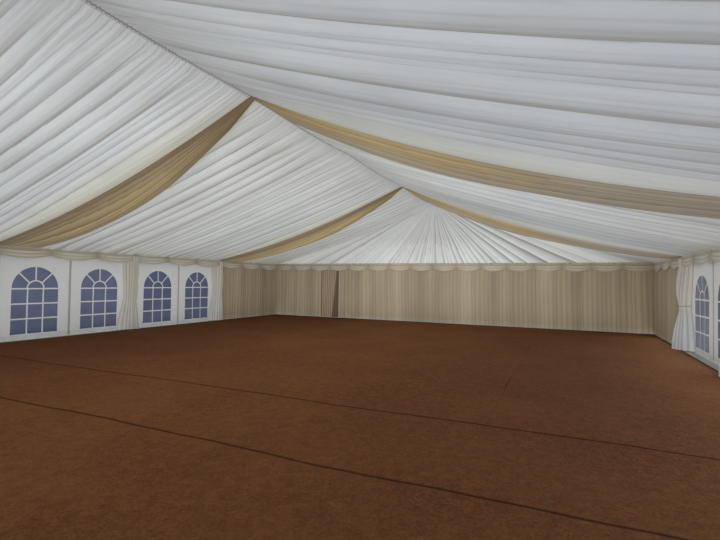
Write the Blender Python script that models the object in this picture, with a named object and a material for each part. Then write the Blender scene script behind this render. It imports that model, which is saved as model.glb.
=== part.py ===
"""A lined clear-span frame marquee: aluminium portal frames every bay, sheeted roof, walls and
gables, and inside it a pleated lining with swags, a scalloped pelmet and post drapes.

Metres, +Z up. The ridge runs along Y, the span along X, and the ground is Z = 0.
The origin is at ground level, in the middle of the plan.
"""

import math

import bmesh
import bpy
from mathutils import Matrix

# Overall frame
SPAN = 15.0
BAY = 3.75
BAYS = 6
EAVES = 2.5
PITCH = math.radians(18.0)

# Aluminium sections
SECTION_DEPTH = 0.166
SECTION_WIDTH = 0.088
PLATE_LENGTH = 0.22
PLATE_WIDTH = 0.16
PLATE_THICK = 0.012
PLATE_SETBACK = 0.001
RIDGE_BEAM_WIDTH = 0.10
RIDGE_BEAM_DEPTH = 0.10
EAVES_BEAM_WIDTH = 0.08
EAVES_BEAM_DEPTH = 0.09
GABLE_RAIL_DEPTH = 0.10
GABLE_RAIL_DROP = 0.13
GABLE_POSTS = 3

# Outer covers
COVER = 0.008
COVER_SEAT = 0.0005
FLAP_DROP = 0.14
ROOF_OVERHANG = 0.03
WALL_TOP_DROP = 0.015

# Windows, two in each glazed bay
GLAZED_BAYS = (2, 3, 4, 5)
WINDOW_WIDTH = 1.12
WINDOW_SPACING = 1.72
WINDOW_SILL = 0.13
WINDOW_SPRING = 1.26
ARCH_STEPS = 16
GLAZING = 0.004
GLAZING_LAP = 0.06

# Doorway in each gable
DOOR_CENTRE = -4.56
DOOR_WIDTH = 0.84
DOOR_HEAD_DROP = 0.22

# Lining
LINING_EAVES_DROP = 0.17
LINING_RIDGE_DROP = 0.317
LINING = 0.010
LINING_SAG = 0.12
BAY_SAG = 0.05
LINING_STEPS = 12
LINING_STEPS_PER_BAY = 8
HEM = 0.015

# Pelmet and post drapes
PELMET = 0.024
PELMET_DEPTH = 0.16
SCALLOP_DEPTH = 0.07
SCALLOPS_PER_BAY = 3
GABLE_SCALLOPS = 16
SCALLOP_STEPS = 8
DRAPE_DEPTH = 0.10
DRAPE_INSET = 0.002
DRAPE_WIDTH = 0.40
DRAPE_FOOT_WIDTH = 0.74
DRAPE_WAIST_WIDTH = 0.16
DRAPE_WAIST_HEIGHT = 1.12

# Swags, which draw the lining down where they hang
SWAG_FRAMES = (2, 4, 6)
SWAG_THICK = 0.02
SWAG_RIDGE_WIDTH = 0.20
SWAG_WIDTH = 1.00
SWAG_DROOP = 0.26
SWAG_BELLY = 0.08
SWAG_CLEAR = 0.03
SWAG_STEPS_ACROSS = 6
DROOP_NEAR_REACH = 0.70
DROOP_FAR_REACH = 0.50

# Doorway curtains
CURTAIN = 0.02
CURTAIN_LAP = 0.08
CURTAIN_GATHERED = 0.16
CURTAIN_GATHERED_THICK = 0.06

# Matting
MATTING = 0.008
MATTING_BREAK = -0.85
MATTING_SPLIT = 3.92
MATTING_CROSS = 1.70

# Clearance between two pieces that touch, and how far a cutter reaches past what it cuts
GAP = 0.0003
CUT_DEPTH = 0.08

LENGTH = BAY * BAYS
HALF_SPAN = SPAN / 2
HALF_LENGTH = LENGTH / 2
SLOPE = math.tan(PITCH)
RIDGE = EAVES + HALF_SPAN * SLOPE
FRAME_END = HALF_LENGTH + SECTION_WIDTH / 2
LEG_INNER = HALF_SPAN - SECTION_DEPTH
GABLE_INNER = HALF_LENGTH - SECTION_WIDTH / 2
GABLE_SHEET_INNER = FRAME_END + GAP
GABLE_SHEET_OUTER = GABLE_SHEET_INNER + COVER
ROOF_END = GABLE_SHEET_OUTER + ROOF_OVERHANG
WALL_INNER = HALF_SPAN + GAP
WALL_OUTER = WALL_INNER + COVER
GLAZING_INNER = WALL_OUTER + GAP
GLAZING_OUTER = GLAZING_INNER + GLAZING
RAIL_TOP = EAVES - GABLE_RAIL_DROP
RAIL_BOTTOM = RAIL_TOP - GABLE_RAIL_DEPTH
DOOR_HEIGHT = RAIL_BOTTOM - DOOR_HEAD_DROP
LINING_EAVES = EAVES - LINING_EAVES_DROP
LINING_RIDGE = RIDGE - LINING_RIDGE_DROP
LINING_SIDE = LEG_INNER - GAP
LINING_END = GABLE_INNER - GAP
PELMET_SIDE = LINING_SIDE - LINING - GAP
PELMET_END = LINING_END - LINING - GAP

COLLECTION = "marquee_tent"
CUTTERS = "cutters"

COLOURS = {
    "aluminium": ((0.62, 0.63, 0.64), 0.38, 1.0),
    "sheeting": ((0.86, 0.87, 0.87), 0.42, 0.0),
    "glazing": ((0.62, 0.72, 0.76), 0.10, 0.0),
    "lining": ((0.83, 0.82, 0.78), 0.75, 0.0),
    "cream": ((0.78, 0.70, 0.54), 0.75, 0.0),
    "swag": ((0.66, 0.55, 0.36), 0.60, 0.0),
    "curtain": ((0.24, 0.14, 0.08), 0.80, 0.0),
    "coir": ((0.32, 0.16, 0.06), 0.95, 0.0),
}


def clear_scene():
    for obj in list(bpy.data.objects):
        bpy.data.objects.remove(obj, do_unlink=True)


def collection(name):
    made = bpy.data.collections.new(name)
    bpy.context.scene.collection.children.link(made)
    return made


def material(name):
    made = bpy.data.materials.get(name)
    if made is None:
        colour, roughness, metallic = COLOURS[name]
        made = bpy.data.materials.new(name)
        made.use_nodes = True
        shader = made.node_tree.nodes["Principled BSDF"]
        shader.inputs["Base Color"].default_value = (*colour, 1.0)
        shader.inputs["Roughness"].default_value = roughness
        shader.inputs["Metallic"].default_value = metallic
    return made


def add(name, data, finish, group=COLLECTION):
    obj = bpy.data.objects.new(name, data)
    bpy.data.collections[group].objects.link(obj)
    if finish:
        data.materials.append(material(finish))
    return obj


def box(name, low, high, finish, group=COLLECTION):
    """A block from its lowest corner to its highest."""
    mesh = bpy.data.meshes.new(name)
    form = bmesh.new()
    bmesh.ops.create_cube(form, size=1.0)
    size = [b - a for a, b in zip(low, high)]
    middle = [(a + b) / 2 for a, b in zip(low, high)]
    bmesh.ops.scale(form, vec=size, verts=form.verts)
    bmesh.ops.translate(form, vec=middle, verts=form.verts)
    form.to_mesh(mesh)
    form.free()
    return add(name, mesh, finish, group)


def plate(name, outline, thick, turn, finish, group=COLLECTION):
    """A flat outline, extruded to its thickness and turned by a matrix, as a mesh."""
    curve = bpy.data.curves.new(name, "CURVE")
    curve.dimensions = "2D"
    curve.fill_mode = "BOTH"
    curve.extrude = thick / 2
    spline = curve.splines.new("POLY")
    spline.points.add(len(outline) - 1)
    for point, (across, up) in zip(spline.points, outline):
        point.co = (across, up, 0.0, 1.0)
    spline.use_cyclic_u = True
    flat = bpy.data.objects.new(name + "_outline", curve)
    bpy.context.scene.collection.objects.link(flat)
    graph = bpy.context.evaluated_depsgraph_get()
    mesh = bpy.data.meshes.new_from_object(flat.evaluated_get(graph))
    bpy.data.objects.remove(flat, do_unlink=True)
    form = bmesh.new()
    form.from_mesh(mesh)
    bmesh.ops.remove_doubles(form, verts=form.verts, dist=0.00005)
    bmesh.ops.transform(form, matrix=turn, verts=form.verts)
    bmesh.ops.recalc_face_normals(form, faces=form.faces)
    form.to_mesh(mesh)
    form.free()
    mesh.name = name
    return add(name, mesh, finish, group)


def facing_y(y):
    """Turns an outline drawn as (X, Z) to stand at this Y."""
    return Matrix.Translation((0, y, 0)) @ Matrix.Rotation(math.pi / 2, 4, "X")


def facing_x(x):
    """Turns an outline drawn as (Y, Z) to stand at this X."""
    return Matrix.Translation((x, 0, 0)) @ Matrix(
        ((0, 0, 1, 0), (1, 0, 0, 0), (0, 1, 0, 0), (0, 0, 0, 1))
    )


def facing_z(z):
    """Lays an outline drawn as (X, Y) flat at this Z."""
    return Matrix.Translation((0, 0, z))


def sheet(name, surface, across, along, thickness, finish):
    """An open grid bent by surface(u, v), u and v from 0 to 1, and swept along its thickness."""
    mesh = bpy.data.meshes.new(name)
    form = bmesh.new()
    bmesh.ops.create_grid(form, x_segments=across, y_segments=along, size=0.5)
    for vert in form.verts:
        vert.co = surface(vert.co.x + 0.5, vert.co.y + 0.5)
    lower = bmesh.ops.extrude_face_region(form, geom=form.faces[:], use_keep_orig=True)
    verts = [item for item in lower["geom"] if isinstance(item, bmesh.types.BMVert)]
    bmesh.ops.translate(form, vec=thickness, verts=verts)
    bmesh.ops.recalc_face_normals(form, faces=form.faces)
    form.to_mesh(mesh)
    form.free()
    return add(name, mesh, finish)


def combine(obj, others, operation):
    """Joins or cuts with an exact Boolean for each of the other objects."""
    for other in others:
        other.hide_render = True
        other.display_type = "WIRE"
        step = obj.modifiers.new(operation.lower(), "BOOLEAN")
        step.operation = operation
        step.solver = "EXACT"
        step.object = other
    return obj


def roof_line(x):
    """Height of the rafters' top at this X."""
    return RIDGE - abs(x) * SLOPE


def rafter_under(x):
    return roof_line(x) - SECTION_DEPTH / math.cos(PITCH)


def lining_line(x):
    """Height of the straight line from the lining's ridge to its eaves."""
    return LINING_RIDGE - abs(x) * (LINING_RIDGE - LINING_EAVES) / LINING_SIDE


def frame_y(number):
    """Middle of portal frame 1, at the near gable, to BAYS + 1, at the far one."""
    return -HALF_LENGTH + BAY * (number - 1)


def portal_frame(number):
    """Two legs and two rafters in one plane, notched on top for the beams, on foot plates."""
    y = frame_y(number)
    name = f"portal_frame_{number}"
    notch_side = HALF_SPAN - EAVES_BEAM_WIDTH
    notch_foot = EAVES - EAVES_BEAM_DEPTH
    ridge_side = RIDGE_BEAM_WIDTH / 2
    ridge_foot = roof_line(ridge_side) - RIDGE_BEAM_DEPTH
    right_top = [
        (ridge_side, ridge_foot),
        (ridge_side, roof_line(ridge_side)),
        (notch_side, roof_line(notch_side)),
        (notch_side, notch_foot),
        (HALF_SPAN, notch_foot),
        (HALF_SPAN, PLATE_THICK / 2),
        (LEG_INNER, PLATE_THICK / 2),
        (LEG_INNER, rafter_under(LEG_INNER)),
        (0.0, rafter_under(0.0)),
    ]
    left = [(-x, z) for x, z in reversed(right_top[:-1])]
    turn = facing_y(y)
    frame = plate(name, right_top + left, SECTION_WIDTH, turn, "aluminium")
    ends = {1: 1, BAYS + 1: -1}
    inset = ends.get(number, 0) * ((PLATE_WIDTH - SECTION_WIDTH) / 2 + PLATE_SETBACK)
    feet = []
    outer = HALF_SPAN - PLATE_SETBACK
    for side in (-1, 1):
        low = min(side * outer, side * (outer - PLATE_LENGTH))
        foot = box(
            f"{name}_foot_{side}",
            (low, y + inset - PLATE_WIDTH / 2, 0.0),
            (low + PLATE_LENGTH, y + inset + PLATE_WIDTH / 2, PLATE_THICK),
            None,
            CUTTERS,
        )
        feet.append(foot)
    return combine(frame, feet, "UNION")


def beams():
    """The ridge beam and both eaves beams, full length in the frames' notches."""
    long = 2 * FRAME_END
    half = RIDGE_BEAM_WIDTH / 2 - GAP
    foot = roof_line(RIDGE_BEAM_WIDTH / 2) - RIDGE_BEAM_DEPTH + GAP
    side = roof_line(half)
    outline = [(0.0, RIDGE), (-half, side), (-half, foot), (half, foot), (half, side)]
    plate("ridge_beam", outline, long, facing_y(0.0), "aluminium")
    inner = HALF_SPAN - EAVES_BEAM_WIDTH + GAP
    foot = EAVES - EAVES_BEAM_DEPTH + GAP
    for side, name in ((-1, "eaves_beam_left"), (1, "eaves_beam_right")):
        outline = [
            (side * inner, foot),
            (side * HALF_SPAN, foot),
            (side * HALF_SPAN, EAVES),
            (side * inner, roof_line(inner)),
        ]
        plate(name, outline, long, facing_y(0.0), "aluminium")


def gable_framing(name, y):
    """The rail across a gable at eaves height and its posts, up to the rafters."""
    end = LEG_INNER - GAP
    step = SPAN / (GABLE_POSTS + 1)
    lower = [(-end, RAIL_BOTTOM)]
    upper = [(-end, RAIL_TOP)]
    for index in range(GABLE_POSTS):
        middle = -HALF_SPAN + step * (index + 1)
        left = middle - SECTION_WIDTH / 2
        right = middle + SECTION_WIDTH / 2
        lower += [(left, RAIL_BOTTOM), (left, 0.0), (right, 0.0), (right, RAIL_BOTTOM)]
        head = [left, 0.0, right] if left < 0.0 < right else [left, right]
        upper.append((left, RAIL_TOP))
        upper += [(x, rafter_under(x) - GAP) for x in head]
        upper.append((right, RAIL_TOP))
    lower.append((end, RAIL_BOTTOM))
    upper.append((end, RAIL_TOP))
    return plate(name, lower + upper[::-1], SECTION_WIDTH, facing_y(y), "aluminium")


def roof_panel(number):
    """One bay of roof sheet, from the flap over one eaves beam to the flap over the other."""
    low = frame_y(number) + GAP / 2
    high = frame_y(number + 1) - GAP / 2
    if number == 1:
        low = -ROOF_END
    if number == BAYS:
        high = ROOF_END
    inner = GLAZING_OUTER + GAP
    outer = inner + COVER
    foot = EAVES - FLAP_DROP
    rise = COVER / math.cos(PITCH)
    right = [
        (0.0, RIDGE + COVER_SEAT),
        (inner, roof_line(inner) + COVER_SEAT),
        (inner, foot),
        (outer, foot),
        (outer, roof_line(outer) + COVER_SEAT + rise),
        (0.0, RIDGE + COVER_SEAT + rise),
    ]
    outline = right + [(-x, z) for x, z in reversed(right[1:-1])]
    middle = (low + high) / 2
    plate(f"roof_panel_{number}", outline, high - low, facing_y(middle), "sheeting")


def window_outline(middle):
    """A round-headed window as (Y, Z) points, drawn from the sill's left corner."""
    radius = WINDOW_WIDTH / 2
    points = [(middle - radius, WINDOW_SILL), (middle + radius, WINDOW_SILL)]
    for step in range(ARCH_STEPS + 1):
        angle = math.pi * step / ARCH_STEPS
        points.append((middle + radius * math.cos(angle), WINDOW_SPRING + radius * math.sin(angle)))
    return points


def window_middles(number):
    middle = (frame_y(number) + frame_y(number + 1)) / 2
    return [middle - WINDOW_SPACING / 2, middle + WINDOW_SPACING / 2]


def side_wall(number, side, word):
    """One bay of wall sheet, with two windows cut through it in a glazed bay."""
    low = frame_y(number) + GAP / 2
    high = frame_y(number + 1) - GAP / 2
    if number == 1:
        low = -GABLE_SHEET_OUTER
    if number == BAYS:
        high = GABLE_SHEET_OUTER
    near, far = sorted((side * WALL_INNER, side * WALL_OUTER))
    name = f"side_wall_{word}_{number}"
    wall = box(name, (near, low, 0.0), (far, high, EAVES - WALL_TOP_DROP), "sheeting")
    if number not in GLAZED_BAYS:
        return wall
    middle = (near + far) / 2
    cutters = []
    for index, y in enumerate(window_middles(number)):
        outline = window_outline(y)
        cutter = plate(f"{name}_cut_{index}", outline, CUT_DEPTH, facing_x(middle), None, CUTTERS)
        cutters.append(cutter)
    return combine(wall, cutters, "DIFFERENCE")


def window_glazing(side, word):
    """One clear sheet that closes the windows of the glazed bays."""
    low = window_middles(GLAZED_BAYS[0])[0] - WINDOW_WIDTH / 2 - GLAZING_LAP
    high = window_middles(GLAZED_BAYS[-1])[1] + WINDOW_WIDTH / 2 + GLAZING_LAP
    top = WINDOW_SPRING + WINDOW_WIDTH / 2 + GLAZING_LAP
    near, far = sorted((side * GLAZING_INNER, side * GLAZING_OUTER))
    box(f"window_glazing_{word}", (near, low, WINDOW_SILL - GLAZING_LAP), (far, high, top), "glazing")


def gable_covers(word, turn):
    """A gable's sheets: the triangle with the piece over the doorway, and a sheet each side."""
    y = turn * (GABLE_SHEET_INNER + COVER / 2)
    middle = turn * DOOR_CENTRE
    door_low = middle - DOOR_WIDTH / 2
    door_high = middle + DOOR_WIDTH / 2
    top = EAVES - WALL_TOP_DROP
    triangle = [
        (-HALF_SPAN, RAIL_BOTTOM),
        (door_low, RAIL_BOTTOM),
        (door_low, DOOR_HEIGHT),
        (door_high, DOOR_HEIGHT),
        (door_high, RAIL_BOTTOM),
        (HALF_SPAN, RAIL_BOTTOM),
        (HALF_SPAN, top),
        (HALF_SPAN - GAP, EAVES),
        (0.0, RIDGE),
        (-HALF_SPAN + GAP, EAVES),
        (-HALF_SPAN, top),
    ]
    plate(f"gable_triangle_{word}", triangle, COVER, facing_y(y), "sheeting")
    low, high = sorted((turn * GABLE_SHEET_INNER, turn * GABLE_SHEET_OUTER))
    top = RAIL_BOTTOM - GAP
    box(f"gable_wall_{word}_left", (-HALF_SPAN, low, 0.0), (door_low - GAP, high, top), "sheeting")
    box(f"gable_wall_{word}_right", (door_high + GAP, low, 0.0), (HALF_SPAN, high, top), "sheeting")


def ease(share):
    """Goes smoothly from 0 to 1 as share does."""
    share = min(1.0, max(0.0, share))
    return share * share * (3.0 - 2.0 * share)


def slack(out):
    """How far cloth hung from ridge to eaves has dropped, as a share; out is 0 at the ridge."""
    return math.sin(math.pi * out) ** 0.8 if 0.0 < out < 1.0 else 0.0


def pull(y):
    """How strongly a swag draws the lining down at this Y, 1 at the swag's own frame."""
    strongest = 0.0
    for number in SWAG_FRAMES:
        away = y - frame_y(number)
        reach = DROOP_FAR_REACH if away > 0.0 else DROOP_NEAR_REACH
        strongest = max(strongest, 1.0 - ease(abs(away) / reach))
    return strongest


def lining_height(x, y):
    """Top of the roof lining, which sags from ridge to eaves and between frames."""
    out = abs(x) / LINING_SIDE
    across = LINING_SAG * math.sin(math.pi * min(out, 1.0))
    along = BAY_SAG * (1.0 - out) * math.sin(math.pi * ((y + HALF_LENGTH) / BAY % 1.0))
    return lining_line(x) - across - along - SWAG_DROOP * slack(out) * pull(y)


def roof_lining(side, word):
    """Half of the roof lining, from the ridge to the eaves."""
    end = LINING_END - LINING - GAP

    def surface(u, v):
        x = GAP + (LINING_SIDE - GAP) * u
        y = max(-end, min(end, LENGTH * (v - 0.5)))
        return (side * x, y, lining_height(x, y))

    name = f"roof_lining_{word}"
    sheet(name, surface, LINING_STEPS, BAYS * LINING_STEPS_PER_BAY, (0.0, 0.0, -LINING), "lining")


def gable_fan(word, turn):
    """The lining of a gable's triangle, above eaves height."""
    foot = LINING_EAVES - LINING
    side = LINING_SIDE
    outline = [
        (-side, foot),
        (side, foot),
        (side, rafter_under(side) - GAP),
        (0.0, rafter_under(0.0) - GAP),
        (-side, rafter_under(side) - GAP),
    ]
    middle = turn * (LINING_END - LINING / 2)
    plate(f"gable_fan_{word}", outline, LINING, facing_y(middle), "lining")


def wall_lining(word, turn):
    """Lining round one end: the gable wall and the bay beside it on both sides."""
    top = LINING_EAVES - LINING - GAP
    start = HALF_LENGTH - BAY
    outline = [
        (LINING_SIDE, start),
        (LINING_SIDE, LINING_END),
        (-LINING_SIDE, LINING_END),
        (-LINING_SIDE, start),
        (-LINING_SIDE + LINING, start),
        (-LINING_SIDE + LINING, LINING_END - LINING),
        (LINING_SIDE - LINING, LINING_END - LINING),
        (LINING_SIDE - LINING, start),
    ]
    outline = [(x, turn * y) for x, y in outline]
    lining = plate(f"wall_lining_{word}", outline, top - HEM, facing_z((top + HEM) / 2), "cream")
    middle = turn * DOOR_CENTRE
    low, high = sorted((turn * (LINING_END - CUT_DEPTH), turn * (LINING_END + CUT_DEPTH)))
    doorway = box(
        f"wall_lining_{word}_doorway",
        (middle - DOOR_WIDTH / 2, low, HEM - CUT_DEPTH),
        (middle + DOOR_WIDTH / 2, high, DOOR_HEIGHT),
        None,
        CUTTERS,
    )
    return combine(lining, [doorway], "DIFFERENCE")


def pelmet_height(share, along, top):
    """Height on a pelmet: share is 0 at its hanging curves and 1 at its top, along counts curves."""
    curve = SCALLOP_DEPTH * math.sin(math.pi * (along % 1.0))
    return top - (1.0 - share) * (PELMET_DEPTH + curve)


def drape(y, top, tied):
    """Outline of the drape down one post, gathered at a waist where it is tied back."""
    waist = DRAPE_WAIST_WIDTH if tied else (DRAPE_WIDTH + DRAPE_FOOT_WIDTH) / 2
    left = [(-DRAPE_WIDTH / 2, top), (-waist / 2, DRAPE_WAIST_HEIGHT), (-DRAPE_FOOT_WIDTH / 2, HEM)]
    right = [(-across, z) for across, z in reversed(left)]
    return [(y + across, z) for across, z in left + right]


def side_pelmet(side, word, tied):
    """The scalloped pelmet along one side, with the drapes that hang from it down the posts."""
    name = f"pelmet_and_drapes_{word}"
    top = LINING_EAVES - LINING - GAP
    end = PELMET_END - PELMET - GAP
    count = BAYS * SCALLOPS_PER_BAY

    def surface(u, v):
        return (side * PELMET_SIDE, end * (2.0 * v - 1.0), pelmet_height(u, v * count, top))

    pelmet = sheet(name, surface, 1, count * SCALLOP_STEPS, (-side * PELMET, 0.0, 0.0), "cream")
    middle = side * (PELMET_SIDE - DRAPE_INSET - DRAPE_DEPTH / 2)
    drapes = []
    for number in range(2, BAYS + 1):
        outline = drape(frame_y(number), top - PELMET_DEPTH / 2, tied)
        hanging = plate(f"{name}_{number}", outline, DRAPE_DEPTH, facing_x(middle), None, CUTTERS)
        drapes.append(hanging)
    return combine(pelmet, drapes, "UNION")


def gable_pelmet(word, turn):
    """The scalloped pelmet across a gable."""
    top = LINING_EAVES - LINING - GAP

    def surface(u, v):
        height = pelmet_height(u, v * GABLE_SCALLOPS, top)
        return (PELMET_SIDE * (2.0 * v - 1.0), turn * PELMET_END, height)

    name = f"gable_pelmet_{word}"
    sheet(name, surface, 1, GABLE_SCALLOPS * SCALLOP_STEPS, (0.0, -turn * PELMET, 0.0), "cream")


def swag(number):
    """A band of cloth slung below the lining from eaves to eaves, narrow at the ridge."""
    end = PELMET_SIDE - PELMET - GAP

    def surface(u, v):
        x = max(-end, min(end, LINING_SIDE * (2.0 * u - 1.0)))
        out = abs(2.0 * u - 1.0)
        width = SWAG_RIDGE_WIDTH + (SWAG_WIDTH - SWAG_RIDGE_WIDTH) * math.sin(math.pi * out / 2)
        y = frame_y(number) + width * v
        below = SWAG_DROOP * (1.0 - pull(y)) + SWAG_BELLY * math.sin(math.pi * v)
        return (x, y, lining_height(x, y) - LINING - SWAG_CLEAR - below * slack(out))

    name = f"swag_{number}"
    sheet(name, surface, 2 * LINING_STEPS, SWAG_STEPS_ACROSS, (0.0, 0.0, -SWAG_THICK), "swag")


def doorway_curtain(word, turn, drawn):
    """The curtain on the gable rail, drawn across its doorway or gathered at one side."""
    y = frame_y(BAYS + 1) * turn
    middle = turn * DOOR_CENTRE
    low = middle - DOOR_WIDTH / 2 - CURTAIN_LAP
    high = middle + DOOR_WIDTH / 2 + CURTAIN_LAP
    half = CURTAIN / 2
    if not drawn:
        high = low + CURTAIN_GATHERED
        half = CURTAIN_GATHERED_THICK / 2
    box(
        f"doorway_curtain_{word}",
        (low, y - half, HEM),
        (high, y + half, RAIL_BOTTOM - GAP),
        "curtain",
    )


def matting():
    """Four lengths of matting over the whole floor, butted together."""
    side = HALF_SPAN - PLATE_SETBACK - PLATE_LENGTH - GAP
    end = FRAME_END - PLATE_SETBACK - PLATE_WIDTH - GAP
    cross = MATTING_BREAK - MATTING_CROSS
    pieces = {
        "matting_near": (-side, -end, side, cross),
        "matting_cross": (-side, cross + GAP, side, MATTING_BREAK),
        "matting_far_left": (-side, MATTING_BREAK + GAP, MATTING_SPLIT, end),
        "matting_far_right": (MATTING_SPLIT + GAP, MATTING_BREAK + GAP, side, end),
    }
    for name, (left, near, right, far) in pieces.items():
        box(name, (left, near, 0.0), (right, far, MATTING), "coir")


def build():
    clear_scene()
    collection(COLLECTION)
    collection(CUTTERS)
    for number in range(1, BAYS + 2):
        portal_frame(number)
    beams()
    gable_framing("gable_framing_near", frame_y(1))
    gable_framing("gable_framing_far", frame_y(BAYS + 1))
    for number in range(1, BAYS + 1):
        roof_panel(number)
        side_wall(number, -1, "left")
        side_wall(number, 1, "right")
    for side, word in ((-1, "left"), (1, "right")):
        window_glazing(side, word)
        roof_lining(side, word)
    side_pelmet(-1, "left", False)
    side_pelmet(1, "right", True)
    for turn, word in ((-1, "near"), (1, "far")):
        gable_covers(word, turn)
        gable_fan(word, turn)
        wall_lining(word, turn)
        gable_pelmet(word, turn)
        doorway_curtain(word, turn, turn > 0)
    for number in SWAG_FRAMES:
        swag(number)
    matting()


build()
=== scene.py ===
"""The looks of a lined frame marquee: sheets and windows outside, and inside them a pleated
lining, swags, scalloped pelmets, drapes, curtains and matting.

Metres, +Z up. The ridge runs along Y, the span along X, and the ground is Z = 0.
"""

import math

import bpy
import numpy as np
from mathutils import Matrix, Vector
from mathutils.geometry import delaunay_2d_cdt


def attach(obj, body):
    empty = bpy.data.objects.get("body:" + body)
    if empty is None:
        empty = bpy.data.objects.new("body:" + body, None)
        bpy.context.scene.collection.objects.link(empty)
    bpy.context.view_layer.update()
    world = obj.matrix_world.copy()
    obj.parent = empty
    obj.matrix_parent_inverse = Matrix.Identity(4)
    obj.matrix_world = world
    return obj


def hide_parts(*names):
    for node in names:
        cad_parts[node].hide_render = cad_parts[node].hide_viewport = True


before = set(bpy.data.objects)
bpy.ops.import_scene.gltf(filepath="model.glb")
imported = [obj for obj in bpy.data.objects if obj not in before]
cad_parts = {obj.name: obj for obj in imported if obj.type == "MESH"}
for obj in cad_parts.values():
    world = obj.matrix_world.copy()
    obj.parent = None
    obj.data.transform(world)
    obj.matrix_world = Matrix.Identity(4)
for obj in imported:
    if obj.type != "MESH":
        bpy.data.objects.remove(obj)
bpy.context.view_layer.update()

# Sizes of the frame and its sheets, as the part has them
HALF_SPAN = 7.5
BAY = 3.75
BAYS = 6
HALF_LENGTH = BAY * BAYS / 2
EAVES = 2.5
SLOPE = math.tan(math.radians(18.0))
RIDGE = EAVES + HALF_SPAN * SLOPE
SECTION_WIDTH = 0.088
FRAME_END = HALF_LENGTH + SECTION_WIDTH / 2
WALL_SHEET = 7.5033
WALL_TOP = 2.485
FLAP_SIDE = 7.5189
FLAP_FOOT = 2.36
GABLE_SHEET = FRAME_END + 0.0043
ROOF_END = FRAME_END + 0.0383
RAIL_BOTTOM = 2.27
LINING_EAVES = 2.33
LINING_RIDGE = 4.62
LINING_SIDE = 7.3337
LINING_END = 11.2057
PELMET_TOP = 2.3197
PELMET_SIDE = 7.3234
PELMET_END = 11.1954
DRAPE_TOP = 2.24
DOOR_CENTRE = -4.56
DOOR_WIDTH = 0.84
DOOR_HEIGHT = 2.05
HEM = 0.015
KEDER_GAP = 0.034

# How the cloth hangs
LINING_SAG = 0.12
BAY_SAG = 0.05
LINING_DROOP = (0.13, 0.20)
DROOP_NEAR_REACH = 0.70
DROOP_FAR_REACH = 0.50
SWAG_FRAMES = (2, 4, 6)
SWAG_RIDGE_WIDTH = 0.09
SWAG_WIDTH = 1.00
SWAG_DROOP = 0.26
SWAG_BELLY = 0.08
PELMET_HANG = 0.215
SCALLOP_HANG = 0.095
SCALLOPS_A_BAY = 3
GABLE_SCALLOPS = 16
WAIST = 1.03

# Windows
GLAZED_BAYS = (2, 3, 4, 5)
WINDOW_WIDTH = 1.12
WINDOW_SPACING = 1.72
WINDOW_SILL = 0.13
WINDOW_SPRING = 1.26
BAR = 0.034
BAR_PITCH = 0.375
BAR_THICK = 0.0016
PANE_LIFT = 0.0022
PANE_BELLY = 0.006

# Welds, hems and eyelets of the outer sheets
WELD = 0.05
WELD_THICK = 0.0015
HEM_WIDTH = 0.11
HEM_MIDDLE = 0.065
HEM_TOP = 0.13
EYELET_RADIUS = 0.010
EYELET_HEIGHT = 0.05
EYELET_PITCH = 0.45

# Matting
MATTING_BREAK = -0.85
MATTING_CROSS = -2.55
MATTING_SPLIT = 3.92
MATTING_SIDE = 7.2787
MATTING_END = 11.1327
MATTING = 0.008
MATTING_GAP = 0.0005


# Curves and places


def clamp(share):
    return np.clip(share, 0.0, 1.0)


def ease(share):
    """Goes smoothly from 0 to 1 as share does."""
    share = clamp(share)
    return share * share * (3.0 - 2.0 * share)


def hump(share):
    """0 at both ends of a share from 0 to 1, and 1 in its middle."""
    return np.sin(np.pi * share)


def bell(value, middle, reach):
    """1 at the middle, falling off to both sides."""
    return np.exp(-(((value - middle) / reach) ** 2))


def grid(across, along):
    """Shares from 0 to 1: one that changes across a grid, and one that changes along it."""
    return np.linspace(0.0, 1.0, across)[:, None], np.linspace(0.0, 1.0, along)[None, :]


def places(x, y, z):
    """A grid of points from coordinates that broadcast together."""
    return np.stack(np.broadcast_arrays(x, y, z), 2)


def frame_y(number):
    return -HALF_LENGTH + BAY * (number - 1)


def roof_line(x):
    return RIDGE - np.abs(x) * SLOPE


def slack(out):
    """How far cloth hung from ridge to eaves has dropped, as a share; out is 0 at the ridge."""
    return hump(clamp(out)) ** 0.8


def most_of_swags(y, share_at):
    """The largest share that any swag's frame gives; share_at takes how far beyond it y is."""
    return np.max([share_at(y - frame_y(number)) for number in SWAG_FRAMES], axis=0)


def pull(y, near=DROOP_NEAR_REACH, far=DROOP_FAR_REACH):
    """How strongly a swag draws the lining down at this Y, 1 at the swag's own frame."""
    return most_of_swags(
        y, lambda away: 1.0 - ease(np.abs(away) / np.where(away > 0.0, far, near))
    )


def swag_width(out):
    """How wide a swag is, from its gathered middle at the ridge to the eaves."""
    return SWAG_RIDGE_WIDTH + (SWAG_WIDTH - SWAG_RIDGE_WIDTH) * hump(out / 2)


def over_swag(x, y):
    """1 where the lining lies on a swag and 0 away from it."""
    width = swag_width(np.abs(x) / LINING_SIDE)
    return most_of_swags(y, lambda away: 1.0 - ease(np.maximum(away - width, -away) / 0.10))


def beside_swag(y, reach):
    """1 on the lining just before a swag's frame, 0 at this reach from it and beyond the frame."""
    return most_of_swags(y, lambda away: np.where(away > 0.0, 0.0, 1.0 - ease(-away / reach)))


def shade_band_before_swag(y):
    """1 in a band of painted shade on the lining 1.5 m before a swag's frame, and 0 away from it.
    """
    return sum(bell(y, frame_y(number) - 1.5, 0.4) for number in SWAG_FRAMES)


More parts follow.
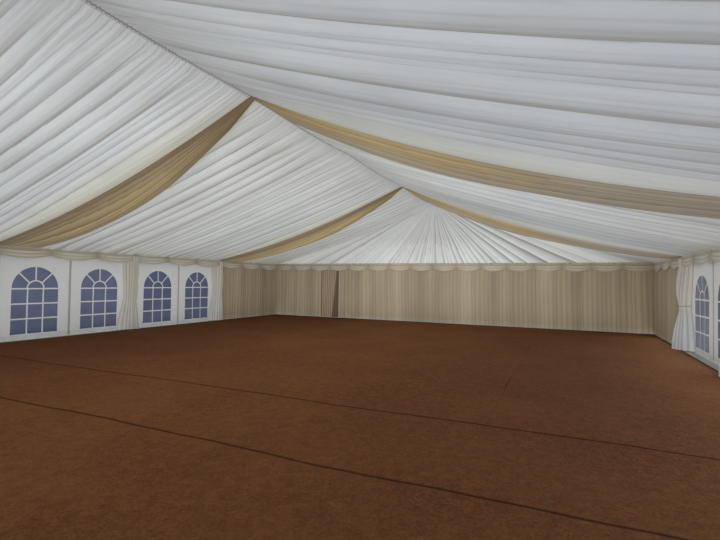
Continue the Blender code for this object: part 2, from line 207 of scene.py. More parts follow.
def lining_height(x, y):
    """The roof lining, which sags from ridge to eaves, between frames, and towards its swags."""
    out = np.abs(x) / LINING_SIDE
    line = LINING_RIDGE - out * (LINING_RIDGE - LINING_EAVES)
    across = LINING_SAG * hump(np.minimum(out, 1.0))
    along = BAY_SAG * (1.0 - out) * hump((y + HALF_LENGTH) / BAY % 1.0)
    return line - across - along - np.where(x < 0.0, *LINING_DROOP) * slack(out) * pull(y)


# Node trees


def put(tree, kind, inputs=(), **settings):
    """A node with its settings, and its inputs by name or number: a value, or a socket to link."""
    made = tree.nodes.new(kind)
    for key, value in settings.items():
        setattr(made, key, value)
    for key, value in dict(inputs).items():
        if isinstance(value, bpy.types.NodeSocket):
            tree.links.new(value, made.inputs[key])
        else:
            made.inputs[key].default_value = value
    return made


def maths(tree, operation, a, b=0.0, clamped=False):
    inputs = {0: a, 1: b}
    return put(tree, "ShaderNodeMath", inputs, operation=operation, use_clamp=clamped).outputs[0]


def times(tree, a, b):
    return maths(tree, "MULTIPLY", a, b)


def blend_colours(tree, share, a, b, how="MIX"):
    made = put(tree, "ShaderNodeMix", {0: share, 6: a, 7: b}, data_type="RGBA", blend_type=how)
    return made.outputs[2]


def spread(tree, value, low, high, to_low=0.0, to_high=1.0):
    names = {"Value": value, "From Min": low, "From Max": high, "To Min": to_low, "To Max": to_high}
    return put(tree, "ShaderNodeMapRange", names).outputs[0]


def apart(tree, place):
    return put(tree, "ShaderNodeSeparateXYZ", {0: place}).outputs


def group(name, takes, gives):
    """An empty node group with named sockets: (name, kind, usual value)."""
    tree = bpy.data.node_groups.new(name, "ShaderNodeTree")
    for label, kind, usual in takes:
        socket = tree.interface.new_socket(label, in_out="INPUT", socket_type=f"NodeSocket{kind}")
        if usual is not None:
            socket.default_value = usual
    for label, kind in gives:
        tree.interface.new_socket(label, in_out="OUTPUT", socket_type=f"NodeSocket{kind}")
    return tree, tree.nodes.new("NodeGroupInput").outputs, tree.nodes.new("NodeGroupOutput").inputs


def use(tree, shared, **inputs):
    """A node group in its place; an underscore in an input's name stands for a space."""
    named = {key.replace("_", " "): value for key, value in inputs.items()}
    return put(tree, "ShaderNodeGroup", named, node_tree=shared).outputs


def gather_group():
    """Fine pleats that run along V: streaks that are narrow along U and long along V."""
    takes = [("Place", "Vector", None), ("Pleats", "Float", 22.0), ("Run", "Float", 0.7)]
    tree, have, give = group("fine_gathers", takes, [("Height", "Float"), ("Shade", "Float")])
    u, v, _ = apart(tree, have["Place"])
    across = times(tree, u, have["Pleats"])
    along = times(tree, v, have["Run"])
    streaks = ((across, 3.0, 0.32, "Height"), (times(tree, across, 0.23), 1.0, 0.3, "Shade"))
    for wide, detail, low, output in streaks:
        place = put(tree, "ShaderNodeCombineXYZ", {0: wide, 1: along}).outputs[0]
        inputs = {"Vector": place, "Scale": 1.0, "Detail": detail}
        noise = put(tree, "ShaderNodeTexNoise", inputs).outputs[0]
        tree.links.new(spread(tree, noise, low, 1.0 - low), give[output])
    return tree


def weave_group():
    """The threads of plain-woven cloth, so many to a metre."""
    takes = [("Place", "Vector", None), ("Threads", "Float", 500.0)]
    tree, have, give = group("plain_weave", takes, [("Height", "Float")])
    ways = apart(tree, have["Place"])
    waves = [maths(tree, "SINE", times(tree, ways[side], have["Threads"])) for side in (0, 1)]
    tree.links.new(spread(tree, times(tree, *waves), -1.0, 1.0), give["Height"])
    return tree


def blotch_group():
    """Slow uneven patches, for cloth and sheet that isn't one even colour."""
    takes = [("Place", "Vector", None), ("Size", "Float", 1.0), ("Seed", "Float", 0.0)]
    takes.append(("Detail", "Float", 4.0))
    tree, have, give = group("uneven_tone", takes, [("Tone", "Float")])
    scale = maths(tree, "DIVIDE", 1.0, have["Size"])
    inputs = {"Vector": have["Place"], "Scale": scale, "W": have["Seed"], "Detail": have["Detail"]}
    made = put(tree, "ShaderNodeTexNoise", inputs, noise_dimensions="4D")
    tree.links.new(spread(tree, made.outputs[0], 0.35, 0.65), give["Tone"])
    return tree


def packing_group():
    """The straight creases that a sheet keeps from being folded up: 1 on a crease, 0 off it."""
    takes = [("Place", "Vector", None), ("Pitch", "Float", 0.73), ("Half Width", "Float", 0.012)]
    tree, have, give = group("packing_creases", takes, [("Crease", "Float")])
    most = 0.0
    for way in apart(tree, have["Place"]):
        away = maths(tree, "PINGPONG", way, times(tree, have["Pitch"], 0.5))
        share = maths(tree, "DIVIDE", away, have["Half Width"])
        most = maths(tree, "MAXIMUM", maths(tree, "SUBTRACT", 1.0, share, clamped=True), most)
    tree.links.new(most, give["Crease"])
    return tree


GATHERS = gather_group()
WEAVE = weave_group()
UNEVEN = blotch_group()
PACKING = packing_group()


# Finishes


def material(name, **sockets):
    """A material with a Principled shader; sockets are the values set on the shader itself."""
    made = bpy.data.materials.new(name)
    made.use_nodes = True
    shader = made.node_tree.nodes["Principled BSDF"]
    for key, value in sockets.items():
        shader.inputs[key.replace("_", " ")].default_value = value
    return made, made.node_tree, shader


def feed(tree, shader, value, *sockets):
    for name in sockets:
        tree.links.new(value, shader.inputs[name])


def tint(colour):
    return (*colour, 1.0)


def bump(tree, shader, height, depth, strength=1.0):
    made = put(tree, "ShaderNodeBump", {"Height": height, "Distance": depth, "Strength": strength})
    feed(tree, shader, made.outputs[0], "Normal")


def read(tree, name):
    return put(tree, "ShaderNodeAttribute", attribute_name=name).outputs["Fac"]


def ground_place(tree):
    return put(tree, "ShaderNodeTexCoord").outputs["Object"]


def patches(tree, place, size, seed=0.0, detail=4.0):
    return use(tree, UNEVEN, Place=place, Size=size, Seed=seed, Detail=detail)["Tone"]


def pleated_finish(name, cloth, warm, crease, pleats, depth, rough=0.85, sheen=0.15, painted_glow=0.0):
    """Gathered cloth: its colour, its colour where it is warmed, and the colour of the painted
    shade in its creases. Its colour is also multiplied by painted light and shade, and it may have
    a faint painted glow.
    """
    # The emission is a painted glow, off unless a strength is given
    made, tree, shader = material(
        name, Roughness=rough, Sheen_Weight=sheen, Sheen_Roughness=0.6, Emission_Strength=painted_glow
    )
    place = put(tree, "ShaderNodeUVMap").outputs[0]
    gathers = use(tree, GATHERS, Place=place, Pleats=pleats, Run=0.7)
    tone = patches(tree, ground_place(tree), 0.9)
    colour = blend_colours(tree, read(tree, "warm"), tint(cloth), tint(warm))
    # Painted shade: per point, how much of the crease colour is mixed in, most in the deepest
    # creases
    painted_shade = spread(tree, read(tree, "fold"), 0.0, 1.0, 0.85, 0.0)
    shaded = blend_colours(tree, painted_shade, colour, tint(crease))
    # Painted light and shade: fine streaks of shade along the gathers, random patches, and a
    # per-point brightness that lightens or darkens whole areas
    streak = spread(tree, gathers["Shade"], 0.0, 1.0, 0.92, 1.0)
    patch = spread(tree, tone, 0.0, 1.0, 0.95, 1.0)
    light = times(tree, times(tree, streak, patch), read(tree, "daylight"))
    grey = put(tree, "ShaderNodeCombineColor", {0: light, 1: light, 2: light}).outputs[0]
    lit = blend_colours(tree, 1.0, shaded, grey, "MULTIPLY")
    feed(tree, shader, lit, "Base Color", "Emission Color")
    threads = use(tree, WEAVE, Place=place, Threads=2800.0)["Height"]
    height = maths(tree, "ADD", gathers["Height"], times(tree, threads, 0.04))
    bump(tree, shader, height, depth)
    return made


def coated_sheet_finish(name, worn, new):
    """Coated sheeting: folded and a little slack, with soft patches, mud splashed low down, and a
    faint painted glow.
    """
    made, tree, shader = material(name, Specular_IOR_Level=0.3, Emission_Strength=0.05)
    ground = ground_place(tree)
    spots = patches(tree, ground, 0.12, 5.0)
    low = spread(tree, apart(tree, ground)[2], 0.0, 0.45, 1.0, 0.0)
    splash = times(tree, times(tree, times(tree, low, low), spots), 0.4)
    clean = blend_colours(tree, patches(tree, ground, 1.6, 2.0), tint(worn), tint(new))
    muddy = blend_colours(tree, splash, clean, tint((0.42, 0.38, 0.30)))
    folded = use(tree, PACKING, Place=ground)["Crease"]
    colour = blend_colours(tree, times(tree, folded, 0.10), muddy, tint((0.45, 0.45, 0.44)))
    feed(tree, shader, colour, "Base Color", "Emission Color")
    feed(tree, shader, spread(tree, spots, 0.0, 1.0, 0.50, 0.62), "Roughness")
    soft = patches(tree, ground, 0.8, 9.0, 1.0)
    bump(tree, shader, maths(tree, "ADD", times(tree, folded, 0.12), soft), 0.012, 0.8)
    return made


def clear_sheet_finish():
    """Clear flexible window sheet, a little blue and slightly wavy."""
    made, tree, shader = material(
        "clear_window_sheet", Roughness=0.16, Alpha=0.88, Specular_IOR_Level=0.35
    )
    ground = ground_place(tree)
    tone = patches(tree, ground, 0.5, 3.0)
    colour = blend_colours(tree, tone, tint((0.010, 0.035, 0.15)), tint((0.022, 0.065, 0.24)))
    feed(tree, shader, colour, "Base Color")
    bump(tree, shader, patches(tree, ground, 0.22, 7.0), 0.004, 0.6)
    return made


def aluminium_finish():
    """Mill-finish extrusions: dull patches and small scuffs."""
    made, tree, shader = material("mill_aluminium", Metallic=1.0)
    ground = ground_place(tree)
    tone = patches(tree, ground, 0.5, 1.0)
    scuff = patches(tree, ground, 0.03, 4.0)
    colour = blend_colours(tree, tone, tint((0.52, 0.53, 0.54)), tint((0.64, 0.65, 0.66)))
    feed(tree, shader, colour, "Base Color")
    rough = spread(tree, tone, 0.0, 1.0, 0.34, 0.44)
    feed(tree, shader, maths(tree, "ADD", rough, times(tree, scuff, 0.1)), "Roughness")
    bump(tree, shader, scuff, 0.0006, 0.5)
    return made


def coir_finish():
    """Coarse brown coir: woven rows of thick yarn, with loose fibres, trodden patches, and painted
    shade at its edges.
    """
    made, tree, shader = material("brown_coir", Roughness=0.96, Specular_IOR_Level=0.05)
    ground = ground_place(tree)
    yarn = use(tree, WEAVE, Place=ground, Threads=420.0)["Height"]
    fibre = patches(tree, ground, 0.02, 6.0)
    trodden = patches(tree, ground, 1.4, 8.0)
    colour = blend_colours(
        tree, trodden, tint((0.127, 0.046, 0.0175)), tint((0.177, 0.069, 0.028))
    )
    over_it = (
        (times(tree, fibre, 0.55), (0.275, 0.123, 0.049)),
        (times(tree, patches(tree, ground, 0.09, 3.0), 0.35), (0.085, 0.032, 0.012)),
        # painted shade at the mats' edges
        (spread(tree, read(tree, "fold"), 0.0, 1.0, 0.85, 0.0), (0.030, 0.015, 0.008)),
    )
    for share, other in over_it:
        colour = blend_colours(tree, share, colour, tint(other))
    feed(tree, shader, colour, "Base Color")
    bump(tree, shader, maths(tree, "ADD", times(tree, yarn, 0.6), fibre), 0.004)
    return made


# Gathered cloths: colour, warmed colour, colour of the painted shade in creases, pleats a metre,
# and their depth
INSIDE_FINISHES = {
    "lining": pleated_finish(
        "ivory_voile", (0.775, 0.825, 0.88), (0.86, 0.84, 0.70), (0.30, 0.27, 0.23), 24.0, 0.004
    ),
    # The fan has a faint painted glow
    "fan": pleated_finish(
        "ivory_fan", (0.90, 0.92, 0.92), (0.88, 0.87, 0.78), (0.30, 0.29, 0.27), 24.0, 0.004,
        painted_glow=0.07,
    ),
    # The heading's crease colour is near black: painted shadow along the ridge
    "heading": pleated_finish(
        "ivory_heading", (0.72, 0.73, 0.73), (0.72, 0.73, 0.73), (0.08, 0.065, 0.05), 60.0, 0.002
    ),
    "wall": pleated_finish(
        "cream_voile", (0.52, 0.42, 0.275), (0.76, 0.76, 0.75), (0.21, 0.165, 0.10), 20.0, 0.004
    ),
    "pelmet": pleated_finish(
        "ivory_satin", (0.72, 0.68, 0.58), (0.52, 0.43, 0.28), (0.36, 0.31, 0.22), 14.0, 0.003,
        rough=0.6,
    ),
    "drape": pleated_finish(
        "ivory_drape", (0.70, 0.65, 0.56), (0.80, 0.83, 0.87), (0.46, 0.42, 0.36), 10.0, 0.004,
        rough=0.75, sheen=0.1,
    ),
    "swag": pleated_finish(
        "champagne_satin", (0.45, 0.415, 0.32), (0.565, 0.43, 0.195), (0.165, 0.095, 0.04),
        16.0, 0.004, rough=0.6, sheen=0.08,
    ),
    "curtain": pleated_finish(
        "brown_curtain", (0.19, 0.115, 0.065), (0.50, 0.37, 0.25), (0.09, 0.052, 0.03), 12.0, 0.004
    ),
}
FINISH = {
    **INSIDE_FINISHES,
    "sheeting": coated_sheet_finish("coated_sheet", (0.80, 0.81, 0.80), (0.86, 0.865, 0.86)),
    "doubled": coated_sheet_finish("doubled_sheet", (0.70, 0.71, 0.705), (0.76, 0.765, 0.76)),
    "joint": coated_sheet_finish("joint_webbing", (0.46, 0.42, 0.41), (0.54, 0.50, 0.49)),
    "clear": clear_sheet_finish(),
    "aluminium": aluminium_finish(),
    "coir": coir_finish(),
}

# What each light falls on
INSIDE_CLOTH = bpy.data.collections.new("inside_cloth")
OUTSIDE = bpy.data.collections.new("outside")
WALLS = bpy.data.collections.new("walls")
FLOOR = bpy.data.collections.new("floor")


# Meshes


def piece(name, points, faces, finish, nodes=(), uv=None, values=None, smooth=True):
    """A mesh that rides on the frame, with the node it stands for, and values at its points."""
    mesh = bpy.data.meshes.new(name)
    mesh.from_pydata(np.asarray(points, float).tolist(), [], [list(map(int, f)) for f in faces])
    mesh.update()
    if smooth:
        mesh.shade_smooth()
    if uv is not None:
        layer = mesh.uv_layers.new(name="metres")
        loops = np.zeros(len(mesh.loops), np.int32)
        mesh.loops.foreach_get("vertex_index", loops)
        layer.data.foreach_set("uv", np.asarray(uv, np.float32)[loops].ravel())
    for key, value in (values or {}).items():
        layer = mesh.attributes.new(key, "FLOAT", "POINT")
        layer.data.foreach_set("value", np.asarray(value, np.float32).ravel())
    obj = bpy.data.objects.new(name, mesh)
    bpy.context.scene.collection.objects.link(obj)
    mesh.materials.append(FINISH[finish])
    (INSIDE_CLOTH if finish in INSIDE_FINISHES else OUTSIDE).objects.link(obj)
    (FLOOR if finish == "coir" else WALLS).objects.link(obj)
    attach(obj, "root")
    if nodes:
        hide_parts(*nodes)
    return obj


def grid_faces(across, along):
    """Quads of a grid whose points run along first."""
    a, b = np.meshgrid(np.arange(across - 1), np.arange(along - 1), indexing="ij")
    corner = (a * along + b).ravel()
    return np.stack([corner, corner + along, corner + along + 1, corner + 1], 1)


def cloth(name, place, finish, slot, nodes=(), size=(1.0, 1.0), **values):
    """One layer of cloth through a grid of places, shaped (across, along, 3); size is its UV."""
    shape = place.shape[:2]
    u, v = grid(*shape)
    uv = np.stack(np.broadcast_arrays(u * size[0], v * size[1]), 2).reshape(-1, 2)
    # Unless given: no painted shade in creases, no warm colour, and no painted light or shade
    values = {"fold": 1.0, "warm": 0.0, "daylight": 1.0, **values}
    values = {key: np.broadcast_to(value, shape) for key, value in values.items()}
    faces = grid_faces(*shape)
    return piece(name, place.reshape(-1, 3), faces, finish, nodes, uv, values)


# Folds


def creases(length, narrow, wide, seed, last=None):
    """Places of the creases between rolls of uneven width, from 0 to length."""
    rng = np.random.default_rng(seed)
    room = length - (last or 0.0)
    widths = []
    while sum(widths) < room:
        widths.append(rng.uniform(narrow, wide))
    widths = np.array(widths) * room / sum(widths)
    return np.concatenate([[0.0], np.cumsum(np.append(widths, last) if last else widths)])


def across_rolls(s, ends, full=None):
    """How far across its roll each place is, 0 to 1, with the roll's size and its number."""
    widths = np.diff(ends)
    full = full or widths.max()
    index = np.clip(np.searchsorted(ends, s, side="right") - 1, 0, len(widths) - 1)
    share = clamp((s - ends[index]) / widths[index])
    return share, np.minimum(widths[index] / full, 1.0) ** 0.8, index


def rolls(s, ends, crisp=0.75, full=None):
    """Rounded rolls between creases: 0 in a crease and up to 1 on the widest roll."""
    share, size, _ = across_rolls(s, ends, full)
    return hump(share) ** crisp * size


def roll_tone(s, ends, seed, full=None, vary=0.45):
    """How light each roll is painted, 1 on its near side and less towards its far crease, no two
    alike: painted shade, as light falling on each roll's near side would give.
    """
    share, size, index = across_rolls(s, ends, full)
    dim = np.random.default_rng(seed).uniform(0.0, vary, len(ends)) ** 1.5
    return 1.0 - (1.0 - 0.4 * dim[index]) * size * share**1.5 - dim[index]


def wander(s, t, length, reach, seed):
    """Shifts places along a length a little as t goes from 0 to 1; both ends keep theirs."""
    rng = np.random.default_rng(seed)
    moved = 0.0
    for turn in (1, 2, 3, 5):
        phase, rate = rng.uniform(0, 2 * np.pi), rng.uniform(0.35, 1.1)
        waved = np.sin(turn * np.pi * s / length) * np.sin(2 * np.pi * rate * t + phase)
        moved = moved + waved / turn
    return np.clip(s + reach * moved, 0.0, length)


# Roof lining

LINING_ACROSS = 256
LINING_DOWN = 50
LINING_REACH = PELMET_END - 0.03
RIDGE_GAP = 0.016
FULL_ROLL = 0.38

# Where the deep creases of some bays are, from the bay's first frame
DEEP_CREASES = {
    ("right", 3): (0.26, 0.60, 0.89, 1.15, 1.32, 1.85, 2.35, 2.71, 3.12, 3.30),
    ("left", 3): (
        0.22, 0.50, 0.75, 0.97, 1.11, 1.28, 1.50, 1.81, 2.07, 2.28, 2.65, 2.77, 2.95, 3.15, 3.35
    ),
    ("left", 4): (0.35, 0.70, 1.04, 1.50, 1.95, 2.20, 2.52, 3.05, 3.30, 3.60),
    ("left", 5): (0.20, 0.42, 0.62, 0.85, 1.20, 1.55, 1.80, 2.11, 2.50, 2.78, 3.05, 3.35),
}


def roof_lining(side, word):
    """A panel of gathered lining in each bay, from the ridge to the eaves."""
    left = side < 0
    for bay in range(1, BAYS + 1):
        low = -LINING_REACH if bay == 1 else frame_y(bay)
        high = LINING_REACH if bay == BAYS else frame_y(bay + 1)
        length = high - low
        s = np.linspace(0.0, length, LINING_ACROSS)[:, None]
        t = np.linspace(0.0, 1.0, LINING_DOWN)[None, :]
        x = RIDGE_GAP + (LINING_SIDE - RIDGE_GAP) * t
        y = low + s + 0.0 * t

        # Its creases, and where each place is among them
        seed = 100 * bay + (0 if left else 7)
        last = 0.42 if bay + 1 in SWAG_FRAMES else None
        fine = creases(length, 0.06, 0.12, seed + 1)
        broad = creases(length, 0.18, 0.42, seed + 2, last)
        if (word, bay) in DEEP_CREASES:
            broad = np.array([0.0, *DEEP_CREASES[word, bay], length])
        foot = creases(length, 0.10, 0.22, seed + 3)
        crimp = creases(length, 0.05, 0.08, seed + 4)
        drift = wander(s, t, length, 0.025, seed + 5)
        lean = 0.16 if left else 0.03
        drift = np.clip(drift - lean * (t - 0.2) * (s / length) ** 2, 0.0, length)
        other = wander(s, t, length, 0.06, seed + 6)

        # Its shape
        head = 1.0 - ease(t / 0.16)
        tail = ease((t - 0.74) / 0.26)
        body = clamp(1.0 - head - tail)
        calm = (1.0 - 0.9 * over_swag(x, y)) * (1.0 - 0.85 * beside_swag(y, 0.42))
        near_end = ease(s / 0.08) * ease((length - s) / 0.04) * ease(t / 0.02)
        deep = (0.085 * body + 0.045 * tail + 0.02 * head) * rolls(drift, broad, 0.6, FULL_ROLL)
        deep = deep + (0.026 * head + 0.010 * body) * rolls(other, fine)
        deep = deep + (0.026 * tail + 0.010 * body) * rolls(drift, foot)
        deep = deep + (0.016 * head + 0.004) * rolls(other, crimp)
        deep = deep * calm * near_end
        uneven = 0.03 * np.sin(2 * np.pi * s / length * 2.3 + seed) * hump(t) * near_end
        z = lining_height(side * x, y) - 0.004 - deep - uneven * calm

        # Painted shade in its folds: darker in the creases and towards each roll's far side, as
        # light from the near end would fall
        far = ease((y + 1.0) / 3.0)
        shade = 1.0 - roll_tone(drift, broad, seed + 8, FULL_ROLL, 0.3)
        small = 1.0 - roll_tone(other, fine, seed + 9, None, 0.2)
        tone = (1.05 * body + 0.8 * tail + 0.25 * head) * shade
        tone = tone + (0.42 * head + 0.14 * body) * small
        tone = tone + 0.35 * head * (1.0 - rolls(other, crimp, 0.5))
        tone = tone + 0.30 * tail * (1.0 - roll_tone(drift, foot, seed + 10))
        tone = tone * (1.0 + 0.25 * far if left else 1.15)
        open_fold = 1.0 - clamp(tone * (1.0 - 0.4 * head * left)) ** 1.25
        # Painted light: the roll just before a swag is lit up, with little shade
        open_fold = open_fold + (1.0 - open_fold) * 0.7 * beside_swag(y, 0.40)

        # Painted warm light, most near the swags and towards the eaves; and painted light and
        # shade: lighter by the ridge on the left, darker by the ridge on the right, darker further
        # away and just before the swags
        warm = 0.22 + 0.20 * far if left else 0.22 * far + 0.22 * (1.0 - ease(t / 0.6))
        warm = clamp(warm + 0.25 * tail + 0.9 * pull(y, 0.75, 0.9) * hump(t) ** 0.4)
        at_ridge, shadow = 0.16, 0.05
        if not left:
            at_ridge, shadow = -0.17, 0.17 * (1.0 - ease((t - 0.35) / 0.5))
        daylight = 1.0 + at_ridge * (1.0 - ease(t / 0.5)) * (1.0 - 0.5 * far)
        daylight = daylight - 0.13 * ease((y - 2.0) / 4.0) - shadow * beside_swag(y, 1.2)
        # Painted shade on the right before each swag: a broad band, and a narrower one 1.5 m before
        # its frame
        if not left:
            broad_dim = np.minimum(2.0 * beside_swag(y, 2.8), 1.0)
            dimmer = 0.13 * broad_dim * (1.0 - 0.7 * beside_swag(y, 0.8))
            dimmer = dimmer + 0.17 * (1.0 - ease((t - 0.4) / 0.3)) * shade_band_before_swag(y)
            daylight = daylight - dimmer * ease((t - 0.05) / 0.25)

        made = cloth(
            f"roof_lining_{word}_{bay}", places(side * x, y, z), "lining", "roof_lining",
            [f"roof_lining_{word}"], (length, 7.7), fold=open_fold, warm=warm, daylight=daylight,
        )


def ridge_heading(side, word):
    """The gathered heading of the lining, a row of small teeth along the ridge."""
    teeth = 400
    s, r = grid(teeth * 4 + 1, 4)
    x = 0.001 + 0.066 * r
    y = (2.0 * s - 1.0) * LINING_REACH
    tooth = np.abs(np.sin(np.pi * s * teeth))
    z = lining_height(x, y) - 0.008 - 0.020 * tooth * hump(r)
    # Painted shade: dark in the grooves between the teeth and along the ridge itself
    made = cloth(
        f"ridge_heading_{word}", places(side * x, y, z), "heading", "roof_lining",
        [f"roof_lining_{word}"], (22.4, 0.06),
        fold=clamp((0.35 + 0.65 * tooth) * ease((r + 0.10) / 0.45)),
    )


# Swags

SWAG_END = 7.29


def swag(number):
    """A band of champagne cloth slung from eaves to eaves under a frame, in long folds."""
    v, u = grid(57, 221)
    x = SWAG_END * (2.0 * u - 1.0)
    out = np.abs(2.0 * u - 1.0)
    y = frame_y(number) + swag_width(out) * v
    lift = ease(x / 2.5)
    below = SWAG_DROOP * (1.0 - pull(y)) + (SWAG_BELLY - 0.055 * lift) * hump(v)
    hung = np.minimum(1.0, np.minimum(v, 1.0 - v) / 0.12)
    sling = 0.11 * ease(np.abs(x) / 0.7) * (1.0 - ease((np.abs(x) - 2.0) / 3.0))
    base = lining_height(x, y) - 0.008 - 0.034 * ease(hung) - below * slack(out) - sling * v**1.2
    ends = creases(1.0, 0.07, 0.17, 40 + number)
    drift = wander(v, 1.0 - out, 1.0, 0.05, 50 + number)
    crimp = rolls(wander(v, out, 1.0, 0.04, 60 + number), creases(1.0, 0.03, 0.06, 61 + number))
    reach = 0.012 + (0.034 - 0.016 * lift) * hump(clamp(out)) ** 0.7
    z = base - reach * rolls(drift, ends, 0.7) * hump(v) ** 0.3 - 0.005 * crimp

    left = 1.0 - ease((x + 0.4) / 0.8)
    right = 1.0 - left
    # Painted shade: darker in the creases, over the far half, along the far edge on the right, and
    # on the left at the near edge and towards the ridge
    tone = roll_tone(drift, ends, 65 + number) - 0.25 * (1.0 - crimp)
    tone = tone - (0.28 + 0.24 * left) * ease((v - 0.45) / 0.5)
    tone = tone - 0.30 * right * ease((v - 0.86) / 0.1)
    tone = tone - 0.60 * left * (1.0 - ease(v / 0.30)) - 0.45 * left * (1.0 - ease(out / 0.35))
    # Painted sheen: gold where the satin catches the light, on the right mostly by its near edge
    # and the ridge, on the left along its middle
    near_ridge = 1.0 - 0.85 * ease((out - 0.4) / 0.3)
    painted_sheen = right * (0.15 + 0.85 * (1.0 - ease((v - 0.2) / 0.4)) * near_ridge)
    painted_sheen = painted_sheen * (1.0 - 0.9 * ease((out - 0.55) / 0.25))
    painted_sheen = painted_sheen + left * (0.5 + 0.5 * bell(v, 0.45, 0.14 + 0.04 * number))
    # Painted light: lighter towards the eaves on the right
    made = cloth(
        f"swag_{number}_cloth", places(x, y, z), "swag", "swag", [f"swag_{number}"], (1.0, 15.4),
        fold=clamp(tone), warm=painted_sheen, daylight=1.0 + right * 0.09 * ease((out - 0.6) / 0.3),
    )


# Pelmets and drapes


def pelmet(name, count, length, to_place, nodes, warmth):
    """A row of scallops: a flat heading, then cloth hung in crescents between gathered points."""
    q = np.linspace(0.0, count, count * 20 + 1)[:, None]
    r = np.linspace(0.0, 1.0, 19)[None, :]
    hang = hump(q % 1.0)
    drop = r * PELMET_HANG + r**1.5 * SCALLOP_HANG * hang
    point = np.abs(np.cos(np.pi * q)) ** 24
    loose = ease((r - 0.22) / 0.12)
    lap = np.abs(hump(3.4 * r**1.3 + 0.15))
    out = 0.004 + 0.026 * lap * hang**0.6 * loose
    out = out + 0.018 * point * np.minimum(1.0, r * 4.0) + 0.014 * r * loose
    place = to_place(q / count * length, PELMET_TOP - 0.002 - drop, out)
    # Painted shade: darker in the laps, at the gathered points and in a band just under the heading
    under = bell(r, 0.27, 0.06)
    fold = clamp(0.45 + 0.55 * lap * hang**0.4 - 0.45 * point * loose - 0.35 * under)
    # A warmer, darker tan: a share of it everywhere, and more between the scallops and on the
    # heading
    warm = clamp(warmth + 0.5 * (1.0 - hang) * loose + 0.2 * (1.0 - loose))
    made = cloth(name, place, "pelmet", "pelmet", nodes, (length, 0.30), fold=fold, warm=warm)


def side_pelmet(side, word, tied):
    end = PELMET_END - 0.0243

    def to_place(along, z, out):
        return places(side * (PELMET_SIDE - out), along - end, z)

    name = f"pelmet_and_drapes_{word}"
    pelmet(f"pelmet_{word}", BAYS * SCALLOPS_A_BAY, 2 * end, to_place, [name], 0.1)
    for number in range(2, BAYS + 1):
        drape(f"drape_{word}_{number}", side, frame_y(number), tied, name, number)


def gable_pelmet(word, turn):
    def to_place(along, z, out):
        return places(along - PELMET_SIDE, turn * (PELMET_END - out), z)

    node = f"gable_pelmet_{word}"
    pelmet(f"pelmet_{word}_gable", GABLE_SCALLOPS, 2 * PELMET_SIDE, to_place, [node], 0.55)


def post_wrap(z, tied):
    """The path of a drape round its post at each height: (Y, distance into the tent)."""
    upper = ease((z - WAIST) / (DRAPE_TOP - WAIST)) ** 0.8
    lower = ease((WAIST - z) / (WAIST - HEM)) ** 0.7
    waist = 0.12 if tied else 0.23
    near = np.where(z > WAIST, waist + (0.30 - waist) * upper, waist + (0.43 - waist) * lower)
    far = np.where(z > WAIST, 0.08 + 0.10 * upper, 0.08 + 0.16 * lower)
    clear = SECTION_WIDTH / 2 + 0.012
    u = np.linspace(0.0, 1.0, 73)[:, None]
    y = -near + (near + far) * u
    beyond = np.where(y < 0.0, (-y - clear) / (near - clear), (y - clear) / (far - clear))
    swell = hump(clamp((z - WAIST) / (2.04 - WAIST)))
    front = 0.026 + (0.06 * swell + 0.15 * lower if tied else 0.02 * swell + 0.03 * lower)
    return u, y, front - (front + 0.176) * clamp(beyond) ** 1.5


def moved_in(y, into, deep):
    """A path round a post, moved square to itself and away from the post."""
    along, out = np.gradient(y, axis=0), np.gradient(into, axis=0)
    size = np.hypot(along, out)
    return y - deep * out / size, into + deep * along / size


def drape(name, side, middle, tied, node, seed):
    """The drape round one post, pleated, and gathered at a waist where it is tied back."""
    z = np.linspace(DRAPE_TOP, HEM, 40)[None, :]
    u, y, into = post_wrap(z, tied)
    ends = creases(1.0, 0.08, 0.17, 300 + seed + (9 if side > 0 else 0))
    fold = rolls(wander(u, 1.0 - z / 2.3, 1.0, 0.03, 310 + seed), ends)
    waisted = bell(z, WAIST, 0.20) * tied
    y, into = moved_in(y, into, 0.003 + (0.034 - 0.018 * waisted) * fold * hump(u) ** 0.25)
    place = places(side * (PELMET_SIDE - into), middle + y, z)
    white = ease((1.30 - z) / 0.7) * (1.0 if tied else 0.4)
    # The rolls that shape the drape also paint shade in its creases
    made = cloth(name, place, "drape", "pelmet", [node], (1.1, 2.2), fold=fold, warm=white)
    [tie_back(name, side, middle)] if tied else []


def tie_back(name, side, middle):
    """The twisted band that holds a drape to its post."""
    u, y, into = post_wrap(np.full((1, 1), WAIST), True)
    turned = np.linspace(0.0, 2 * np.pi, 13)[None, :]
    thick = 0.013 + 0.003 * np.sin(40.0 * u)
    y, into = moved_in(y, into, 0.024 + thick * np.cos(turned))
    z = WAIST + 1.6 * thick * np.sin(turned) + 0.03 * np.cos(np.pi * u)
    place = places(side * (PELMET_SIDE - into), middle + y, z)
    # Painted shade along the twists of the band
    fold = 0.7 + 0.3 * np.sin(40.0 * u + 3.0 * turned)
    return cloth(f"{name}_tie", place, "drape", "pelmet", size=(0.4, 0.1), fold=fold)


# Gable and wall lining

FAN_APEX = 4.74
LINED_SIDE = BAY - (HALF_LENGTH - LINING_END)


